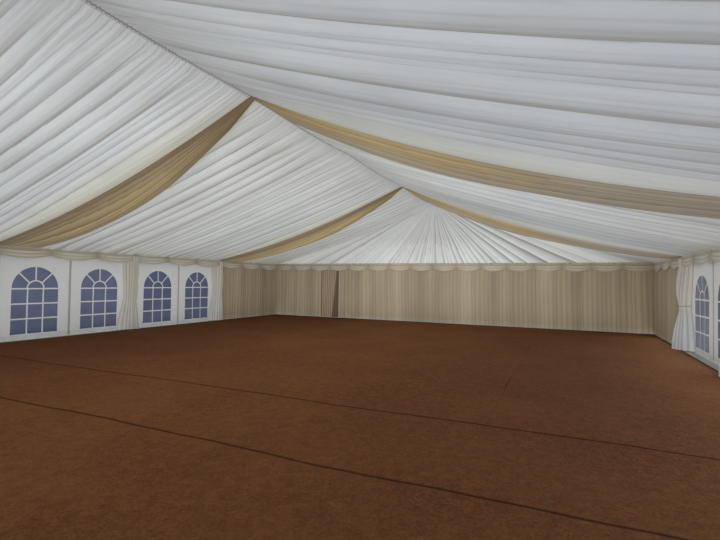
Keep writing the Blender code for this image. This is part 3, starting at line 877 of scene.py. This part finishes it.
def gable_fan(word, turn):
    """The lining of a gable's triangle, pleated like a fan from the ridge."""
    height = FAN_APEX - PELMET_TOP
    base = np.linspace(-1.0, 1.0, 561)[:, None]
    r = np.linspace(0.0, 1.0, 34)[None, :] ** 0.9
    widest = np.arctan(LINING_SIDE / height)
    share = (np.arctan(base * LINING_SIDE / height) / widest + 1.0) / 2.0
    x = base * LINING_SIDE * (0.012 + 0.988 * r)
    z = FAN_APEX - height * (0.012 + 0.988 * r)
    broad = creases(1.0, 0.014, 0.034, 70 + turn)
    drift = wander(share, r, 1.0, 0.003, 90)
    crimp = rolls(share, creases(1.0, 0.006, 0.013, 80 + turn))
    deep = (0.006 + 0.026 * r) * rolls(drift, broad) + (0.003 + 0.004 * r) * crimp
    place = places(x, turn * (LINING_END - 0.002 - deep), z)
    # Painted shade: darker towards each roll's far crease and in the fine creases
    dark = (1.0 - roll_tone(drift, broad, 91)) ** 2.2
    made = cloth(
        f"gable_fan_{word}_cloth", place, "fan", "roof_lining", [f"gable_fan_{word}"], (24.0, 2.4),
        fold=clamp(1.0 - 0.90 * dark - 0.22 * (1.0 - crimp) ** 3), warm=0.25 + 0.3 * r**3,
    )


def wall_run(word, turn, begin, end, top, foot, label, seed):
    """Vertical pleats along the path round one end of the tent, between two distances on it."""
    turns = LINED_SIDE, LINED_SIDE + 2 * LINING_SIDE
    corners = np.array([0.0, *turns, 2 * LINED_SIDE + 2 * LINING_SIDE])
    length = end - begin
    s = np.linspace(0.0, length, max(12, int(length / 0.0165)))[:, None]
    t = np.linspace(0.0, 1.0, 15)[None, :]
    path = begin + s
    x = np.interp(path, corners, np.array([-1, -1, 1, 1]) * LINING_SIDE)
    y = np.interp(path, corners, [HALF_LENGTH - BAY, LINING_END, LINING_END, HALF_LENGTH - BAY])
    in_x = np.where(path < turns[0], 1.0, np.where(path > turns[1], -1.0, 0.0))
    in_y = np.where((path >= turns[0]) & (path <= turns[1]), -1.0, 0.0)
    broad = creases(length, 0.09, 0.19, seed)
    fold = rolls(wander(s, t, length, 0.02, seed + 2), broad)
    crimp = rolls(s, creases(length, 0.045, 0.08, seed + 1))
    deep = 0.003 + (0.010 + 0.022 * t**0.7) * fold + 0.007 * crimp
    z = top + (foot - top) * t
    swathe = np.sin(2 * np.pi * s / 1.9 + seed) * np.sin(2 * np.pi * s / 5.3 + 1.0)
    swathe = swathe + 0.5 * np.sin(9.1 * s + seed)
    # Painted shade in the creases, lightened and darkened in broad swathes along the wall
    open_fold = clamp(0.42 + 0.30 * fold + 0.10 * crimp + 0.24 * swathe * (1.0 - 0.3 * t))
    made = cloth(
        f"wall_lining_{word}_{label}", places(x + in_x * deep, turn * (y + in_y * deep), z),
        "wall", "wall_lining", [f"wall_lining_{word}"], (length, top - foot),
        fold=open_fold, warm=np.where(z < 0.06, 0.35, 0.0),
    )


def wall_lining(word, turn):
    middle = LINED_SIDE + LINING_SIDE + turn * DOOR_CENTRE
    low, high = middle - DOOR_WIDTH / 2, middle + DOOR_WIDTH / 2
    whole = 2 * LINED_SIDE + 2 * LINING_SIDE
    top = PELMET_TOP - 0.001
    wall_run(word, turn, 0.0, low, top, HEM, "left", 400 + turn)
    wall_run(word, turn, high, whole, top, HEM, "right", 410 + turn)
    wall_run(word, turn, low, high, top, DOOR_HEIGHT, "over_door", 420 + turn)


def doorway(turn):
    """Where a gable's doorway is, from X to X; turn is -1 at the near gable and 1 at the far."""
    middle = turn * DOOR_CENTRE
    return middle - DOOR_WIDTH / 2, middle + DOOR_WIDTH / 2


def doorway_curtain(word, turn, drawn):
    """The curtain on the gable rail, drawn across its doorway or gathered at one side."""
    low, high = doorway(turn)
    low, high = low - 0.08, high + 0.08
    depth, pleats = 0.020, 11
    if not drawn:
        high = low + 0.16
        depth, pleats = 0.036, 9
    u, t = grid(pleats * 10 + 1, 30)
    z = RAIL_BOTTOM - 0.002 + (HEM - RAIL_BOTTOM) * t
    swing = np.sin(2 * np.pi * pleats * (u + 0.012 * np.sin(5.0 * t + 9.0 * u)))
    pinch = 1.0 - 0.25 * bell(t, 0.45, 0.16) * (0.0 if drawn else 1.0)
    x = (low + high) / 2 + (high - low) * (u - 0.5) * pinch
    y = turn * HALF_LENGTH - turn * depth * swing * (0.6 + 0.4 * t)
    light = 1.0 - ease((turn * (u - 0.5) + 0.5 - 0.80 + 0.25 * t) / 0.06)
    # Painted shade across each pleat, darkest in its hollow
    made = cloth(
        f"doorway_curtain_{word}_cloth", places(x, y, z), "curtain", "curtain",
        [f"doorway_curtain_{word}"], (1.5, 2.25), fold=0.68 + 0.32 * swing, warm=light,
    )


# Matting


def seam_y(x, seed):
    """How far a matting seam strays from straight."""
    strays = 0.018 * np.sin(1.3 * x + seed) + 0.010 * np.sin(3.1 * x + 2 * seed)
    return strays + 0.004 * np.sin(8.7 * x)


def with_margins(length):
    """Shares of a length about 0.11 m apart, and closer at both ends."""
    middle = np.linspace(0.05, length - 0.05, int(length / 0.11) + 1)
    margin = np.array([0.0, 0.012, 0.026])
    return np.concatenate([margin, middle, length - margin[::-1]]) / length


def mat(node, x_low, x_high, y_low, y_high, seams):
    """A length of matting: almost flat, with soft waves, and edges that lift a little."""
    u = with_margins(x_high - x_low)[:, None]
    v = with_margins(y_high - y_low)[None, :]
    x = x_low + (x_high - x_low) * u + 0.0 * v
    near = y_low + (seam_y(x, seams[0]) if seams[0] else 0.0)
    far = y_high + (seam_y(x, seams[1]) if seams[1] else 0.0)
    y = near + (far - near) * v
    if seams[2]:
        x = x + seam_y(y, seams[2]) * (u if x_low < 0.0 else 1.0 - u)
    to_edge = np.minimum(np.minimum(x - x.min(), x.max() - x), np.minimum(y - near, far - y))
    waves = 0.5 + 0.25 * np.sin(2.1 * x + 0.8 * y) + 0.25 * np.sin(0.9 * x - 2.7 * y + 1.0)
    z = MATTING + 0.004 * waves + 0.004 * np.exp(-to_edge / 0.10) - 0.005 * np.exp(-to_edge / 0.008)
    points = places(x, y, z).reshape(-1, 3)
    count = len(points)
    numbers = np.arange(count).reshape(x.shape)
    border = [numbers[:, 0], numbers[-1, 1:], numbers[-2::-1, -1], numbers[0, -2:0:-1]]
    border = np.concatenate(border)
    ring = len(border)
    faces = grid_faces(*x.shape).tolist()
    for i in range(ring):
        after = (i + 1) % ring
        faces.append([border[after], border[i], count + i, count + after])
    points = np.concatenate([points, points[border] * (1.0, 1.0, 0.0)])
    # Painted shade: dark at the mats' edges and on their sides, where they meet at the seams
    edge_shade = np.concatenate([ease(to_edge / 0.03).ravel(), np.zeros(ring)])
    obj = piece(f"{node}_coir", points, faces, "coir", [node], values={"fold": edge_shade})


def matting():
    side, split, gap = MATTING_SIDE, MATTING_SPLIT, MATTING_GAP
    cross, middle, end = MATTING_CROSS, MATTING_BREAK, MATTING_END
    mat("matting_near", -side, side, -end, cross - gap, (0, 1.0, 0))
    mat("matting_cross", -side, side, cross, middle - gap, (1.0, 2.0, 0))
    mat("matting_far_left", -side, split - gap, middle, end, (2.0, 0, 3.0))
    mat("matting_far_right", split, side, middle, end, (2.0, 0, 3.0))


# Outer sheets


def inside(point, loop):
    x, y = point
    a, b = loop, np.roll(loop, -1, 0)
    crosses = (a[:, 1] > y) != (b[:, 1] > y)
    with np.errstate(divide="ignore", invalid="ignore"):
        at = (b[:, 0] - a[:, 0]) * (y - a[:, 1]) / (b[:, 1] - a[:, 1]) + a[:, 0]
    return bool(np.count_nonzero(crosses & (x < at)) % 2)


def on_sheet(point, outline, *holes):
    return inside(point, outline) and not any(inside(point, hole) for hole in holes)


def filled(outline, holes, step):
    """Triangles that fill an outline with holes, with points about step apart inside."""
    loops = [np.array(loop) for loop in (outline, *holes)]
    points, edges = [], []
    for loop in loops:
        start = len(points)
        for a, b in zip(loop, np.roll(loop, -1, 0)):
            parts = max(1, int(np.linalg.norm(b - a) / step))
            points += [a + (b - a) * i / parts for i in range(parts)]
        ring = list(range(start, len(points)))
        edges += zip(ring, ring[1:] + [start])
    low, high = loops[0].min(0), loops[0].max(0)
    rim = np.array(points)
    for i, a in enumerate(np.arange(low[0] + step / 2, high[0], step)):
        for b in np.arange(low[1] + step / 2 * (1 + i % 2), high[1], step):
            if on_sheet((a, b), *loops):
                if np.linalg.norm(rim - (a, b), axis=1).min() > 0.45 * step:
                    points.append((a, b))
    made = delaunay_2d_cdt([Vector(p) for p in points], edges, [], 0, 1e-6)
    flat = np.array([tuple(p) for p in made[0]])
    return flat, [face for face in made[2] if on_sheet(flat[list(face)].mean(0), *loops)]


def arc(middle, height, radius, angles):
    return [(middle + radius * math.cos(a), height + radius * math.sin(a)) for a in angles]


def level(low, high, z, count):
    return [(across, z) for across in np.linspace(low, high, count)]


def upright(across, low, high, count):
    return [(across, z) for z in np.linspace(low, high, count)]


def unit(rows):
    return rows / np.linalg.norm(rows, axis=1)[:, None]


def strip(path, width, thick, lift, closed=False):
    """A flat band along a path of (across, Z) points: points as (across, Z, out) and quads."""
    path = np.array(path, float)
    ahead = np.roll(path, -1, 0) - path
    behind = path - np.roll(path, 1, 0)
    if not closed:
        ahead[-1], behind[0] = behind[-1], ahead[0]
    way = unit(unit(ahead) + unit(behind))
    turned = np.stack([-way[:, 1], way[:, 0]], 1)
    points = []
    for side, out in ((-1, lift), (-1, lift + thick), (1, lift + thick), (1, lift)):
        edge = path + turned * side * width / 2
        points.append(np.column_stack([edge, np.full(len(path), out)]))
    count = len(path)
    faces = []
    for i in range(count if closed else count - 1):
        j = (i + 1) % count
        for k in range(4):
            m = (k + 1) % 4
            faces.append([k * count + i, k * count + j, m * count + j, m * count + i])
    if not closed:
        faces.append([0, count, 2 * count, 3 * count])
        faces.append([count - 1, 4 * count - 1, 3 * count - 1, 2 * count - 1])
    return np.concatenate(points), faces


def finer(path, step=0.08):
    """A closed path with its points no further apart than this."""
    path = np.array(path, float)
    parts = []
    for a, b in zip(path, np.roll(path, -1, 0)):
        shares = np.linspace(0.0, 1.0, math.ceil(np.linalg.norm(b - a) / step), endpoint=False)
        parts.append(a + (b - a) * shares[:, None])
    return np.concatenate(parts)


def eyelet(across, z, lift):
    ring = arc(across, z, EYELET_RADIUS, np.linspace(0, 2 * math.pi, 13)[:-1])
    return strip(ring, 0.008, 0.002, lift, True)


def gathered_up(parts):
    """Several (points, faces) as one."""
    points, faces, start = [], [], 0
    for some, quads in parts:
        points.append(some)
        faces += [[i + start for i in face] for face in quads]
        start += len(some)
    return np.concatenate(points), faces


def wall_bulge(y, z, low, high):
    """How far a wall sheet stands from flat: soft upright waves, more towards its foot."""
    share = (y - low) / (high - low)
    hold = hump(clamp(share)) ** 0.5
    waves = np.sin(2 * np.pi * 3.0 * share + 0.8 * z) + 0.5 * np.sin(2 * np.pi * 7.0 * share)
    pulled = np.sin(2 * np.pi * 1.5 * share + 1.9 * z) * hump(clamp(z / WALL_TOP))
    return hold * (0.0026 * waves + 0.0034 * pulled) * (1.0 - ease((z - 1.9) / 0.35))


def on_wall(wall, y, z, lift=0.0):
    """Places at this lift from a wall sheet; wall is its side, and where it starts and ends."""
    side, low, high = wall
    out = wall_bulge(y, z, low, high) + lift
    return np.stack([side * (WALL_SHEET + out), y, z], 1)


def gable_bulge(x, z):
    """How far a gable's sheets stand from flat."""
    waves = 0.0035 + 0.0024 * np.sin(2.3 * x + 0.7 * z) + 0.0014 * np.sin(6.1 * x)
    return waves + 0.003 * np.sin(0.9 * x - 1.7 * z)


def on_gable(turn, x, z, lift=0.0):
    """Places at this lift from a gable's sheets."""
    out = gable_bulge(x, z) + lift
    return np.stack([x, turn * (GABLE_SHEET + out), z], 1)


def side_wall(number, side, word):
    """One bay of wall sheet, with its windows, welded bars and the lapped joint between them."""
    low = -GABLE_SHEET if number == 1 else frame_y(number)
    high = GABLE_SHEET if number == BAYS else frame_y(number + 1)
    wall = side, low, high
    holes = [window_outline(y) for y in window_middles(number)] if number in GLAZED_BAYS else []
    outline = [(low, 0.0), (high, 0.0), (high, WALL_TOP), (low, WALL_TOP)]
    flat, faces = filled(outline, holes, 0.11)
    name = f"side_wall_{word}_{number}"
    made = piece(f"{name}_sheet", on_wall(wall, *flat.T), faces, "sheeting", [name])
    on_it = [wall_joint(name, wall), wall_hem(name, wall)]
    if holes:
        on_it += [window_panes(name, word, number, wall), window_bars(name, number, wall)]


def wall_joint(name, wall):
    """The lapped joint up the middle of a bay's wall, with its eyelets."""
    middle = (wall[1] + wall[2]) / 2
    path = upright(middle, 0.02, WALL_TOP - 0.01, 24)
    parts = [strip(path, 0.055, 0.002, lift) for lift in (-0.004, 0.0005)]
    for z in np.arange(0.15, 2.4, 0.22):
        parts += [eyelet(middle, z, lift) for lift in (-0.0062, 0.0025)]
    points, faces = gathered_up(parts)
    return piece(f"{name}_joint", on_wall(wall, *points.T), faces, "joint")


def wall_hem(name, wall):
    """The doubled foot of a wall's sheet, with the eyelets that peg it down, and its ends."""
    _, low, high = wall
    foot = level(low + 0.012, high - 0.012, HEM_MIDDLE, 40)
    parts = [strip(foot, HEM_WIDTH, WELD_THICK, lift) for lift in (0.0006, -0.0034)]
    for y in np.arange(low + 0.25, high - 0.1, EYELET_PITCH):
        parts += [eyelet(y, EYELET_HEIGHT, lift) for lift in (0.0022, -0.0056)]
    for y in (low + 0.035, high - 0.035):
        parts.append(strip(upright(y, HEM_TOP, WALL_TOP - 0.01, 20), WELD, WELD_THICK, 0.0006))
    points, faces = gathered_up(parts)
    place = on_wall(wall, *points.T)
    return piece(f"{name}_hem", place, faces, "doubled", smooth=False)


def window_outline(middle, grow=0.0):
    """A round-headed window as (Y, Z) points; grow widens it all round."""
    radius = WINDOW_WIDTH / 2 + grow
    sill = [(middle - radius, WINDOW_SILL - grow), (middle + radius, WINDOW_SILL - grow)]
    return sill + arc(middle, WINDOW_SPRING, radius, np.linspace(0.0, math.pi, 21))


def window_middles(number):
    middle = (frame_y(number) + frame_y(number + 1)) / 2
    return [middle - WINDOW_SPACING / 2, middle + WINDOW_SPACING / 2]


def pane_belly(points, middle):
    """How far a pane swells between its welds, at points of (Y, Z, ...)."""
    across = clamp(1.0 - ((points[:, 0] - middle) / (WINDOW_WIDTH / 2)) ** 2)
    return PANE_BELLY * across * hump(clamp((points[:, 1] - 0.1) / 1.75))


def window_panes(name, word, number, wall):
    """The clear sheet of a bay's two windows, with a soft belly between its welds."""
    parts = []
    for middle in window_middles(number):
        flat, faces = filled(window_outline(middle, 0.022), [], 0.10)
        parts.append((np.column_stack([flat, PANE_LIFT + pane_belly(flat, middle)]), faces))
    points, faces = gathered_up(parts)
    place = on_wall(wall, *points.T)
    return piece(f"{name}_panes", place, faces, "clear", [f"window_glazing_{word}"])


def bar_lines(middle):
    """The lines of a window's bars: a grid below the springing and a fan in the arch."""
    radius = WINDOW_WIDTH / 2
    hub = radius * 0.36
    lines = []
    height = WINDOW_SPRING
    while height > WINDOW_SILL + 0.08:
        lines.append([(middle + radius * s, height) for s in np.linspace(-1.0, 1.0, 13)])
        height -= BAR_PITCH
    for third in (-1 / 3, 1 / 3):
        lines.append(upright(middle + radius * third, WINDOW_SILL, WINDOW_SPRING, 9))
    lines.append(arc(middle, WINDOW_SPRING, hub, np.linspace(0.0, math.pi, 15)))
    for angle in (math.pi / 4, math.pi / 2, 3 * math.pi / 4):
        way = np.array([math.cos(angle), math.sin(angle)])
        lines.append([(middle, WINDOW_SPRING) + way * r for r in np.linspace(hub, radius, 5)])
    return lines


def window_bars(name, number, wall):
    """White bars welded to both faces of the clear sheet, and a white edge round each window."""
    parts = []
    for middle in window_middles(number):
        for line in bar_lines(middle):
            for lift in (-0.0002, 0.0030):
                points, faces = strip(line, BAR, BAR_THICK, lift)
                points[:, 2] += pane_belly(points, middle)
                parts.append((points, faces))
        edge = finer(window_outline(middle, 0.014))
        parts += [strip(edge, 0.045, 0.002, lift, True) for lift in (-0.003, 0.0042)]
    points, faces = gathered_up(parts)
    place = on_wall(wall, *points.T)
    return piece(f"{name}_bars", place, faces, "sheeting", smooth=False)


def gable_trim(word, turn):
    """A gable's welds, hems and doorway edge, the lap along its rail and the roof's end flap."""
    low, high = doorway(turn)
    parts = []
    for a, b in ((-HALF_SPAN + 0.01, low - 0.005), (high + 0.005, HALF_SPAN - 0.01)):
        parts.append(strip(level(a, b, HEM_MIDDLE, 60), HEM_WIDTH, WELD_THICK, 0.001))
        across = np.arange(a + 0.3, b - 0.1, EYELET_PITCH)
        parts += [eyelet(x, EYELET_HEIGHT, 0.0026) for x in across]
    lines = [level(-HALF_SPAN + 0.03, HALF_SPAN - 0.03, RAIL_BOTTOM + 0.03, 90)]
    lines += [upright(edge, HEM_TOP, DOOR_HEIGHT, 20) for edge in (low - 0.026, high + 0.026)]
    lines.append(level(low - 0.05, high + 0.05, DOOR_HEIGHT + 0.026, 8))
    for x in (-5.0, -2.5, 0.0, 2.5, 5.0):
        begin = HEM_TOP if abs(x - turn * DOOR_CENTRE) > DOOR_WIDTH else DOOR_HEIGHT + 0.06
        lines.append(upright(x, begin, roof_line(x) - 0.06, 40))
    parts += [strip(line, WELD, WELD_THICK, 0.001) for line in lines]
    points, faces = gathered_up(parts)
    place = on_gable(turn, *points.T)
    made = piece(f"gable_trim_{word}", place, faces, "doubled", smooth=False)
    x = np.linspace(-FLAP_SIDE, FLAP_SIDE, 241)[:, None]
    r = np.linspace(0.0, 1.0, 6)[None, :]
    y = turn * (ROOF_END + 0.001 + 0.004 * r * (1.0 + np.sin(5.0 * x)))
    place = places(x, y, roof_line(x) + 0.002 - 0.13 * r)
    cloth(f"roof_end_flap_{word}", place, "sheeting", "sheeting")
    return made


def gable_covers(word, turn):
    """A gable's sheets: the triangle with the piece over the doorway, and a sheet each side."""
    low, high = doorway(turn)
    triangle = [
        (-HALF_SPAN, RAIL_BOTTOM), (low, RAIL_BOTTOM), (low, DOOR_HEIGHT),
        (high, DOOR_HEIGHT), (high, RAIL_BOTTOM), (HALF_SPAN, RAIL_BOTTOM),
        (HALF_SPAN, EAVES), (0.0, RIDGE), (-HALF_SPAN, EAVES),
    ]
    left = [(-HALF_SPAN, 0.0), (low, 0.0), (low, RAIL_BOTTOM), (-HALF_SPAN, RAIL_BOTTOM)]
    right = [(high, 0.0), (HALF_SPAN, 0.0), (HALF_SPAN, RAIL_BOTTOM), (high, RAIL_BOTTOM)]
    for name, outline, size in (
        (f"gable_triangle_{word}", triangle, (15.0, 2.7)),
        (f"gable_wall_{word}_left", left, (low + HALF_SPAN, RAIL_BOTTOM)),
        (f"gable_wall_{word}_right", right, (HALF_SPAN - high, RAIL_BOTTOM)),
    ):
        flat, faces = filled(outline, [], 0.14)
        place = on_gable(turn, *flat.T)
        made = piece(f"{name}_sheet", place, faces, "sheeting", [name])
        top = outline is triangle
        [gable_trim(word, turn)] if top else []


def roof_panel(number):
    """One bay of roof sheet, drawn tight in the rails of its frames, with a flap at each eaves."""
    low = frame_y(number) + KEDER_GAP if number > 1 else -ROOF_END
    high = frame_y(number + 1) - KEDER_GAP if number < BAYS else ROOF_END
    half = [(0.0, RIDGE + 0.004)]
    half += [(x, roof_line(x) + 0.004) for x in np.linspace(0.25, 7.25, 29)]
    half += [(7.42, roof_line(7.42) + 0.0035), (7.49, roof_line(7.49) + 0.002)]
    over_eaves = ((0.006, 0.006), (0.001, 0.022), (0.0, 0.05), (0.0, 0.10))
    half += [(FLAP_SIDE - inset, EAVES - drop) for inset, drop in over_eaves]
    half += [(FLAP_SIDE, FLAP_FOOT + 0.03), (FLAP_SIDE, FLAP_FOOT)]
    path = np.array([(-x, z) for x, z in half[:0:-1]] + half)
    across, top = path.T[:, None]
    out = np.abs(across) / HALF_SPAN

    def on_panel(shares, lift=0.0):
        v = np.array(shares)[:, None]
        sag = 0.026 * hump(v) * hump(clamp(out)) ** 0.7
        drawn = 0.003 * np.sin(2 * np.pi * 4 * v + 3.0 * out) * hump(v) * hump(clamp(out))
        ripple = 0.0016 * np.sin(2 * np.pi * 9 * v) * bell(out, 1.0, 0.06) + lift * (out > 0.97)
        x = across + np.sign(across) * ripple
        return places(x, low + (high - low) * v, top - sag - drawn + lift)

    name = f"roof_panel_{number}_sheet"
    along = np.linspace(0.0, 1.0, 41)
    made = cloth(name, on_panel(along), "sheeting", "sheeting", [f"roof_panel_{number}"])
    for i, middle in enumerate((0.02, 1 / 3, 2 / 3, 0.98)):
        weld = on_panel([middle - 0.007, middle + 0.007], WELD_THICK)
        cloth(f"{name}_weld_{i + 1}", weld, "doubled", "sheeting")
    foot = on_panel(along, 0.0012)
    for word, edge in (("left", foot[:, :2]), ("right", foot[:, -2:])):
        cloth(f"{name}_{word}_hem", edge, "doubled", "sheeting")


def keder_rail(number):
    """The twin-lipped rail on top of a frame, which holds the edges of the roof sheets."""
    half = [(0.018, 0.004), (0.026, 0.009), (0.036, 0.006), (0.036, 0.0005)]
    profile = [(-a, b) for a, b in half[::-1]] + half
    y, xs = frame_y(number), (-7.47, -0.03, 0.03, 7.47)
    points = np.array([(x, y + a, roof_line(x) + b) for x in xs for a, b in profile])
    count = len(profile)
    faces = grid_faces(len(xs), count).tolist()
    for i in range(len(xs) - 1):
        faces.append([i * count, (i + 1) * count, (i + 2) * count - 1, (i + 1) * count - 1])
    faces.append(list(range(count)))
    faces.append(list(range(3 * count, 4 * count))[::-1])
    piece(f"keder_rail_{number}", points, faces, "aluminium", smooth=False)


def dress_frame():
    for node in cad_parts.values():
        if not node.hide_render:
            node.data.materials.clear()
            node.data.materials.append(FINISH["aluminium"])
            OUTSIDE.objects.link(node)


# Stage, light and camera


def stage_floor():
    reach = 400.0
    corners = [(x * reach, y * reach, -0.004) for x, y in ((-1, -1), (1, -1), (1, 1), (-1, 1))]
    mesh = bpy.data.meshes.new("stage_floor")
    mesh.from_pydata(corners, [], [(0, 1, 2, 3)])
    made, _, _ = material("stage_grey", Roughness=0.9, Base_Color=tint((0.62, 0.62, 0.61)))
    mesh.materials.append(made)
    obj = bpy.data.objects.new("stage_floor", mesh)
    bpy.context.scene.collection.objects.link(obj)
    OUTSIDE.objects.link(obj)


def light(name, kind, way, power, colour, pieces):
    """A light that shines along a way, and which only these pieces catch; None is all of them."""
    data = bpy.data.lights.new(name, kind)
    data.energy = power
    data.color = colour
    obj = bpy.data.objects.new(name, data)
    obj.rotation_euler = Vector(way).to_track_quat("-Z", "Y").to_euler()
    obj.light_linking.receiver_collection = pieces
    bpy.context.scene.collection.objects.link(obj)
    return obj


def area_light(name, place, towards, size, power, colour, pieces=None):
    obj = light(name, "AREA", Vector(towards) - Vector(place), power, colour, pieces)
    obj.location = place
    obj.visible_camera = False
    obj.data.shape = "RECTANGLE"
    obj.data.size, obj.data.size_y = size


def broad_light(name, way, strength, spread_angle, colour, pieces):
    """Soft light of one direction everywhere, which only these pieces catch and hold back."""
    obj = light(name, "SUN", way, strength, colour, pieces)
    obj.data.angle = math.radians(spread_angle)
    obj.light_linking.blocker_collection = pieces


def lights():
    world = bpy.data.worlds.new("soft_studio")
    bpy.context.scene.world = world
    world.use_nodes = True
    background = world.node_tree.nodes["Background"]
    background.inputs["Color"].default_value = (0.80, 0.86, 0.92, 1.0)
    background.inputs["Strength"].default_value = 0.6
    middle, hall, wall_band = (0.0, 0.0, 0.0), (13.0, 21.0), (20.0, 1.8)
    area_light("up_light", (0.0, 0.0, 0.05), (0.0, 0.0, 5.0), hall, 355.0, (0.89, 0.96, 1.0))
    area_light("down_light", (0.0, 0.0, 3.3), middle, (5.0, 21.0), 150.0, (0.94, 0.98, 1.0))
    windows = (7.25, 0.0, 1.0), (0.0, 0.0, 1.0), wall_band
    area_light("window_light", *windows, 200.0, (0.80, 0.91, 1.0), FLOOR)
    broad_light("along_tent", (-0.08, 0.80, 0.58), 1.0, 50.0, (0.93, 0.97, 1.0), INSIDE_CLOTH)
    broad_light("outside_key", (-0.55, 0.60, -0.75), 1.25, 25.0, (1.0, 0.98, 0.95), OUTSIDE)
    for side, word in ((-1, "left"), (1, "right")):
        wall = (side * HALF_SPAN, 0.0, 1.3)
        area_light(
            f"{word}_wall_light", (0.0, 0.0, 1.2), wall, wall_band, 125.0, (0.90, 0.96, 1.0), WALLS
        )
    bpy.context.scene.view_settings.view_transform = "Standard"


def camera():
    """The photo's camera, inside the tent near its right-hand side."""
    place = (4.722, -5.901, 1.561)
    yaw, pitch, roll = 0.4308, 0.0257, 0.0147
    flat = math.cos(pitch)
    ahead = Vector((-math.sin(yaw) * flat, math.cos(yaw) * flat, math.sin(pitch)))
    level_right = Vector((math.cos(yaw), math.sin(yaw), 0.0))
    right = math.cos(roll) * level_right + math.sin(roll) * level_right.cross(ahead)
    data = bpy.data.cameras.new("camera")
    data.sensor_width = 36.0
    data.lens = 22.42
    data.clip_start = 0.05
    obj = bpy.data.objects.new("camera", data)
    turn = Matrix((right, right.cross(ahead), -ahead)).transposed()
    obj.matrix_world = Matrix.Translation(place) @ turn.to_4x4()
    bpy.context.scene.collection.objects.link(obj)
    bpy.context.scene.camera = obj


camera()
lights()
stage_floor()
for number in range(1, BAYS + 1):
    roof_panel(number)
    side_wall(number, -1, "left")
    side_wall(number, 1, "right")
for number in range(2, BAYS + 1):
    keder_rail(number)
for side, word, tied in ((-1, "left", False), (1, "right", True)):
    roof_lining(side, word)
    ridge_heading(side, word)
    side_pelmet(side, word, tied)
for turn, word in ((-1, "near"), (1, "far")):
    gable_covers(word, turn)
    gable_fan(word, turn)
    gable_pelmet(word, turn)
    wall_lining(word, turn)
    doorway_curtain(word, turn, turn > 0)
for number in SWAG_FRAMES:
    swag(number)
matting()
dress_frame()
